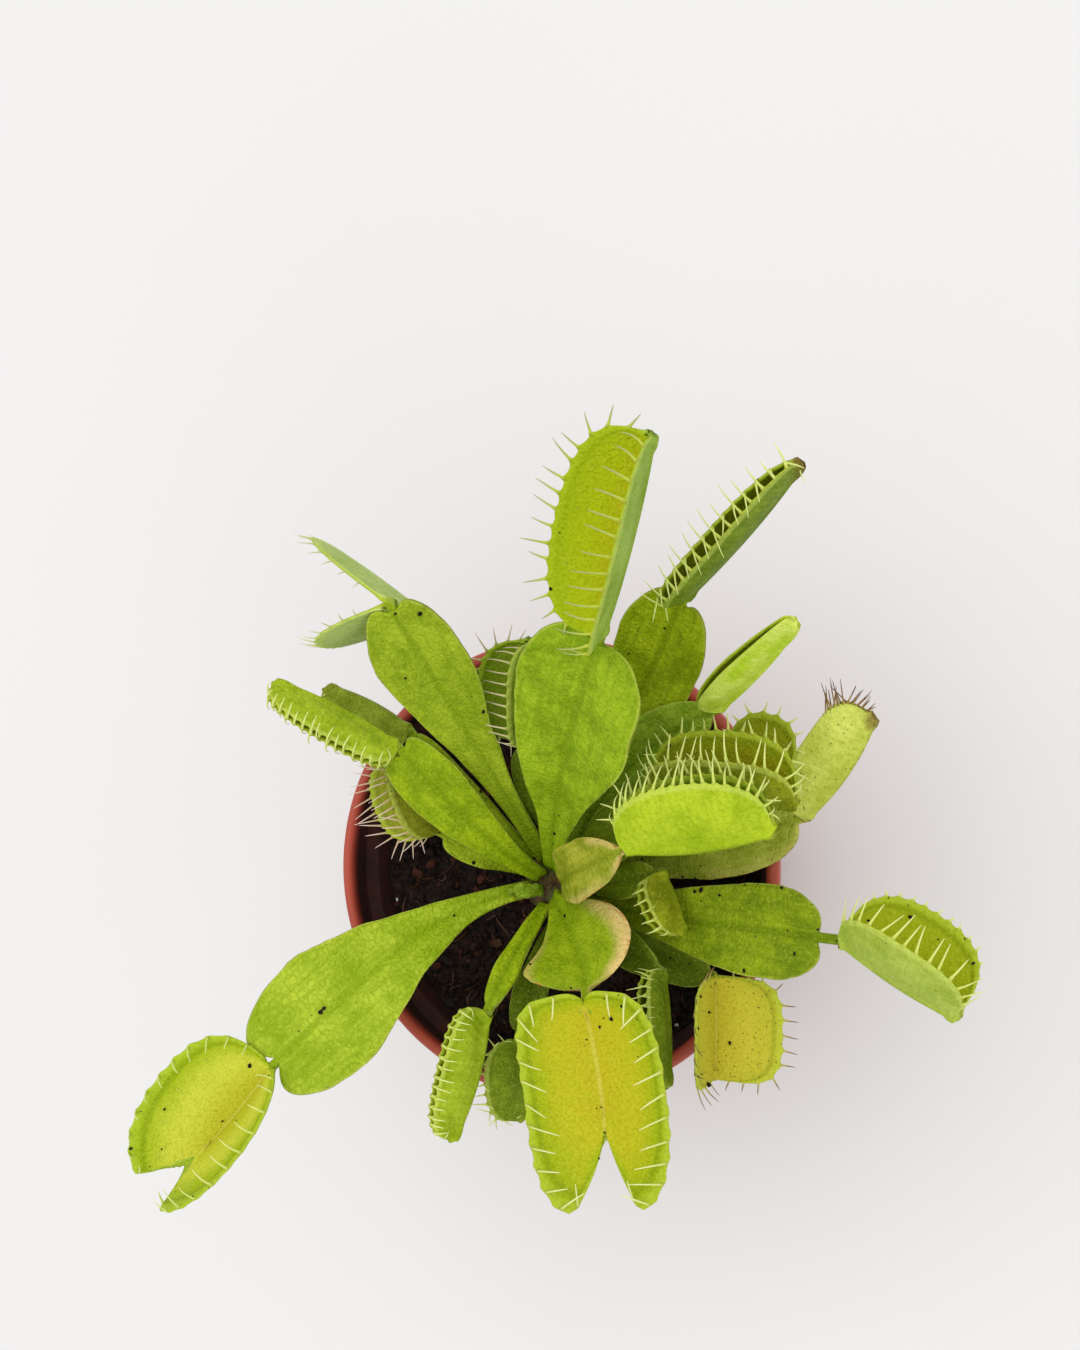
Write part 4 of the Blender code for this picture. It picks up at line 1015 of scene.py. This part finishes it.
def leafFinish(name, look):
    look = usualLook | look
    shades = {key: [screen(*shade) for shade in look[key]] for key in ("blade", "outside", "inside", "teeth")}
    finish, shader, spot = newFinish(name, Specular_IOR_Level=0.11)
    place = spot.node("ShaderNodeAttribute", {"attribute_name": "place"}, {}, "Vector")
    across = place.node("ShaderNodeSeparateXYZ", {}, {"Vector": place}, "X")
    along, share = across.beside("Y"), abs(across.beside("Z"))
    part = spot.node("ShaderNodeAttribute", {"attribute_name": "part"}, {}, "Vector")
    onTrap = part.node("ShaderNodeSeparateXYZ", {}, {"Vector": part}, "X")
    upper, tooth = onTrap.beside("Y"), onTrap.beside("Z")
    offRib = abs(across)
    broad, middling, fine = spot.noise(8, 3, 0.6), spot.noise(2.2, 4, 0.65), spot.noise(0.5, 3, 0.65)

    # blade: fibres that run with the midrib, a net of small cells, pale margin, dark groove
    fibres = place.node("ShaderNodeMapping", {}, {"Vector": place, "Scale": (1, 0.11, 0)}).noise(0.9, 3, 0.6)
    net = spot.cells(1.5, "DISTANCE_TO_EDGE").between(0.2, 0.02)
    mottle = (broad * 0.6 + middling * 0.4).between(0.35, 0.64)
    light, dark = shades["blade"]
    blade = mottle.mix(dark, light)
    blade = (net * look["net"] * middling.between(0.3, 0.6)).mix(blade, dark)
    blade = (fibres.between(0.45, 0.7) * 0.5).mix(blade, dark)
    blade = (fibres.between(0.48, 0.28) * 0.4).mix(blade, light)
    blade = (spot.dots(0.95, 0.2, 0.4) * middling.between(0.42, 0.6) * 0.5).mix(blade, screen(84, 104, 4))
    groove = offRib.between(0.0013, 0.0002) * upper
    blade = (groove * 0.65).mix(blade, dark)
    blade = ((1 - upper) * 0.35).mix(blade, screen(176, 190, 84))
    blade = (share.between(0.95, 0.99) * 0.35).mix(blade, screen(204, 210, 100))
    blade = (share.between(0.985, 1) * 0.5).mix(blade, screen(96, 116, 20))
    if look["scorch"]:
        edge = (share + (broad - 0.5) * 0.5).between(0.6, 0.98)
        edge = edge * (along + (middling - 0.5) * 0.01).between(0.012, 0.022)
        blade = (edge * look["scorch"] * spot.noise(16, 1).between(0.38, 0.52)).mix(blade, screen(232, 200, 128))
        blade = (share.between(0.93, 1) * edge * middling.between(0.45, 0.6) * look["scorch"] * 0.8).mix(
            blade, screen(190, 112, 60))

    # lobes: ribs outside; inside a smooth yellow bowl of tiny glands, flushed along the midrib, and a green margin
    outLight, outDark = shades["outside"]
    outside = mottle.mix(outDark, outLight)
    wobble = along + (middling - 0.5) * 0.0012
    rib = abs((wobble * (1 / 0.0014)).fraction() - 0.5).between(0.42, 0.12)
    outside = (rib * 0.2 * share.between(0.05, 0.3)).mix(outside, outDark)
    outside = (fine.between(0.55, 0.72) * 0.4).mix(outside, outDark)
    outside = (share.between(0.5, 0.05) * 0.35).mix(outside, outDark)
    outside = (share.between(0.9, 0.95) * 0.45).mix(outside, screen(206, 220, 104))
    margin, middle = shades["inside"]
    inside = (share + (broad - 0.5) * 0.3).between(0.92, 0.5).mix(margin, middle)
    flush, amount = look["flush"]
    inside = ((share + (middling - 0.5) * 0.3).between(0.5, 0.02) * amount).mix(inside, screen(*flush))
    inside = (middling.between(0.45, 0.7) * 0.28).mix(inside, margin)
    glands = spot.cells(0.55)
    inside = (glands.between(0.35, 0.12) * share.between(0.86, 0.8) * 0.3).mix(inside, screen(146, 126, 10))
    inside = (share.between(0.82, 0.87) * share.between(0.93, 0.88) * look["lip"]).mix(inside, screen(110, 134, 8))
    inside = (share.between(0.9, 0.96) * look["lip"] * 1.5).mix(inside, screen(182, 204, 60))
    inside = (offRib.between(0.0007, 0.0002) * 0.5).mix(inside, screen(214, 206, 90))
    lobes = upper.mix(outside, inside)
    lobes = (onTrap.between(1.07, 1.0) * share.between(0.5, 0.1) * look["blush"]).mix(lobes, screen(150, 66, 34))
    whole = onTrap.between(0.3, 0.9).mix(blade, lobes)
    if look["tip"]:
        burnt = (onTrap + (middling - 0.5) * 0.25).between(1.86, 1.98) * look["tip"]
        whole = (burnt * 0.8).mix(whole, screen(120, 74, 40))

    # marks: black specks, brown dust dots, then the teeth
    specks = spot.dots(2.6, 0.24, look["specks"] * 0.3).larger(spot.dots(1.1, 0.13, look["specks"] * 0.45))
    specks = specks * spot.noise(10, 2).between(0.4, 0.6)
    whole = (specks * 0.9).mix(whole, screen(38, 32, 8))
    if look["dust"]:
        dots = spot.dots(0.8, 0.22, 0.5 * look["dust"])
        whole = (dots * 0.75).mix(whole, screen(104, 78, 22))
    whole = (fine.between(0.5, 0.66) * 0.24).mix(whole, screen(98, 118, 2))
    whole = (fine.between(0.48, 0.34) * 0.2).mix(whole, screen(214, 222, 86))
    root, tip = shades["teeth"]
    whole = tooth.between(0.05, 0.3).mix(whole, tooth.between(0.15, 0.9).mix(root, tip))
    body = 1 - tooth.between(0.02, 0.1)
    height = middling * 0.5 + fine * 0.4 + net * (-0.35) * (1 - onTrap) + fibres * 0.35 * (1 - onTrap)
    wire(shader, Base_Color=whole, Roughness=0.4 + 0.24 * middling + 0.1 * (1 - upper),
         Normal=raised((height + glands * 0.2 * upper) * body, 0.24))
    return finish


def makeLeaves():
    surfaces = {}
    finishes = {key: leafFinish("leaf" + key[0].upper() + key[1:], look) for key, look in looks.items()}
    for name, shape in leaves.items():
        leaf = usualLeaf | shape
        points, faces, attributes, surface = leafBody(name, leaf)
        words = name.split("_")
        piece = addMesh(words[0] + "".join(w.capitalize() for w in words[1:]), points, faces,
                        finishes[leaf["look"]], attributes)
        settle("leaf", piece, replaced=name)
        surfaces[name] = surface
    return surfaces


surfaces = makeLeaves()
print("leaves made:", len(surfaces))


# crumbs of peat on the leaves

crumbsOn = {"leaf_long": 24, "leaf_right": 60, "leaf_burnt": 36, "leaf_dark": 24, "leaf_tall": 8, "leaf_front": 18,
            "leaf_left_low": 30, "leaf_nest_back": 14, "leaf_speckled": 14, "leaf_upper_left": 6, "leaf_left_inner": 10}


def makeLeafCrumbs():
    rng = np.random.default_rng(51)
    places, sizes = [], []
    for name, count in crumbsOn.items():
        grid, normals = surfaces[name]
        r = rng.integers(8, len(grid) - 6, count)
        c = rng.integers(3, grid.shape[1] - 3, count)
        size = 0.14 + 0.36 * rng.random(count) ** 2
        places.append(grid[r, c] + normals[r, c] * (0.3 + 0.3 * size[:, None]) * mm)
        sizes.append(size * mm)
    points, faces = crumbShapes(np.concatenate(places), np.concatenate(sizes), 52)
    piece = addMesh("leafCrumbs", points, faces, bpy.data.materials["dampPeat"], {"tone": np.zeros(len(points))},
                    sharp=30)
    settle("soil", piece)


makeLeafCrumbs()
print("crumbs made")
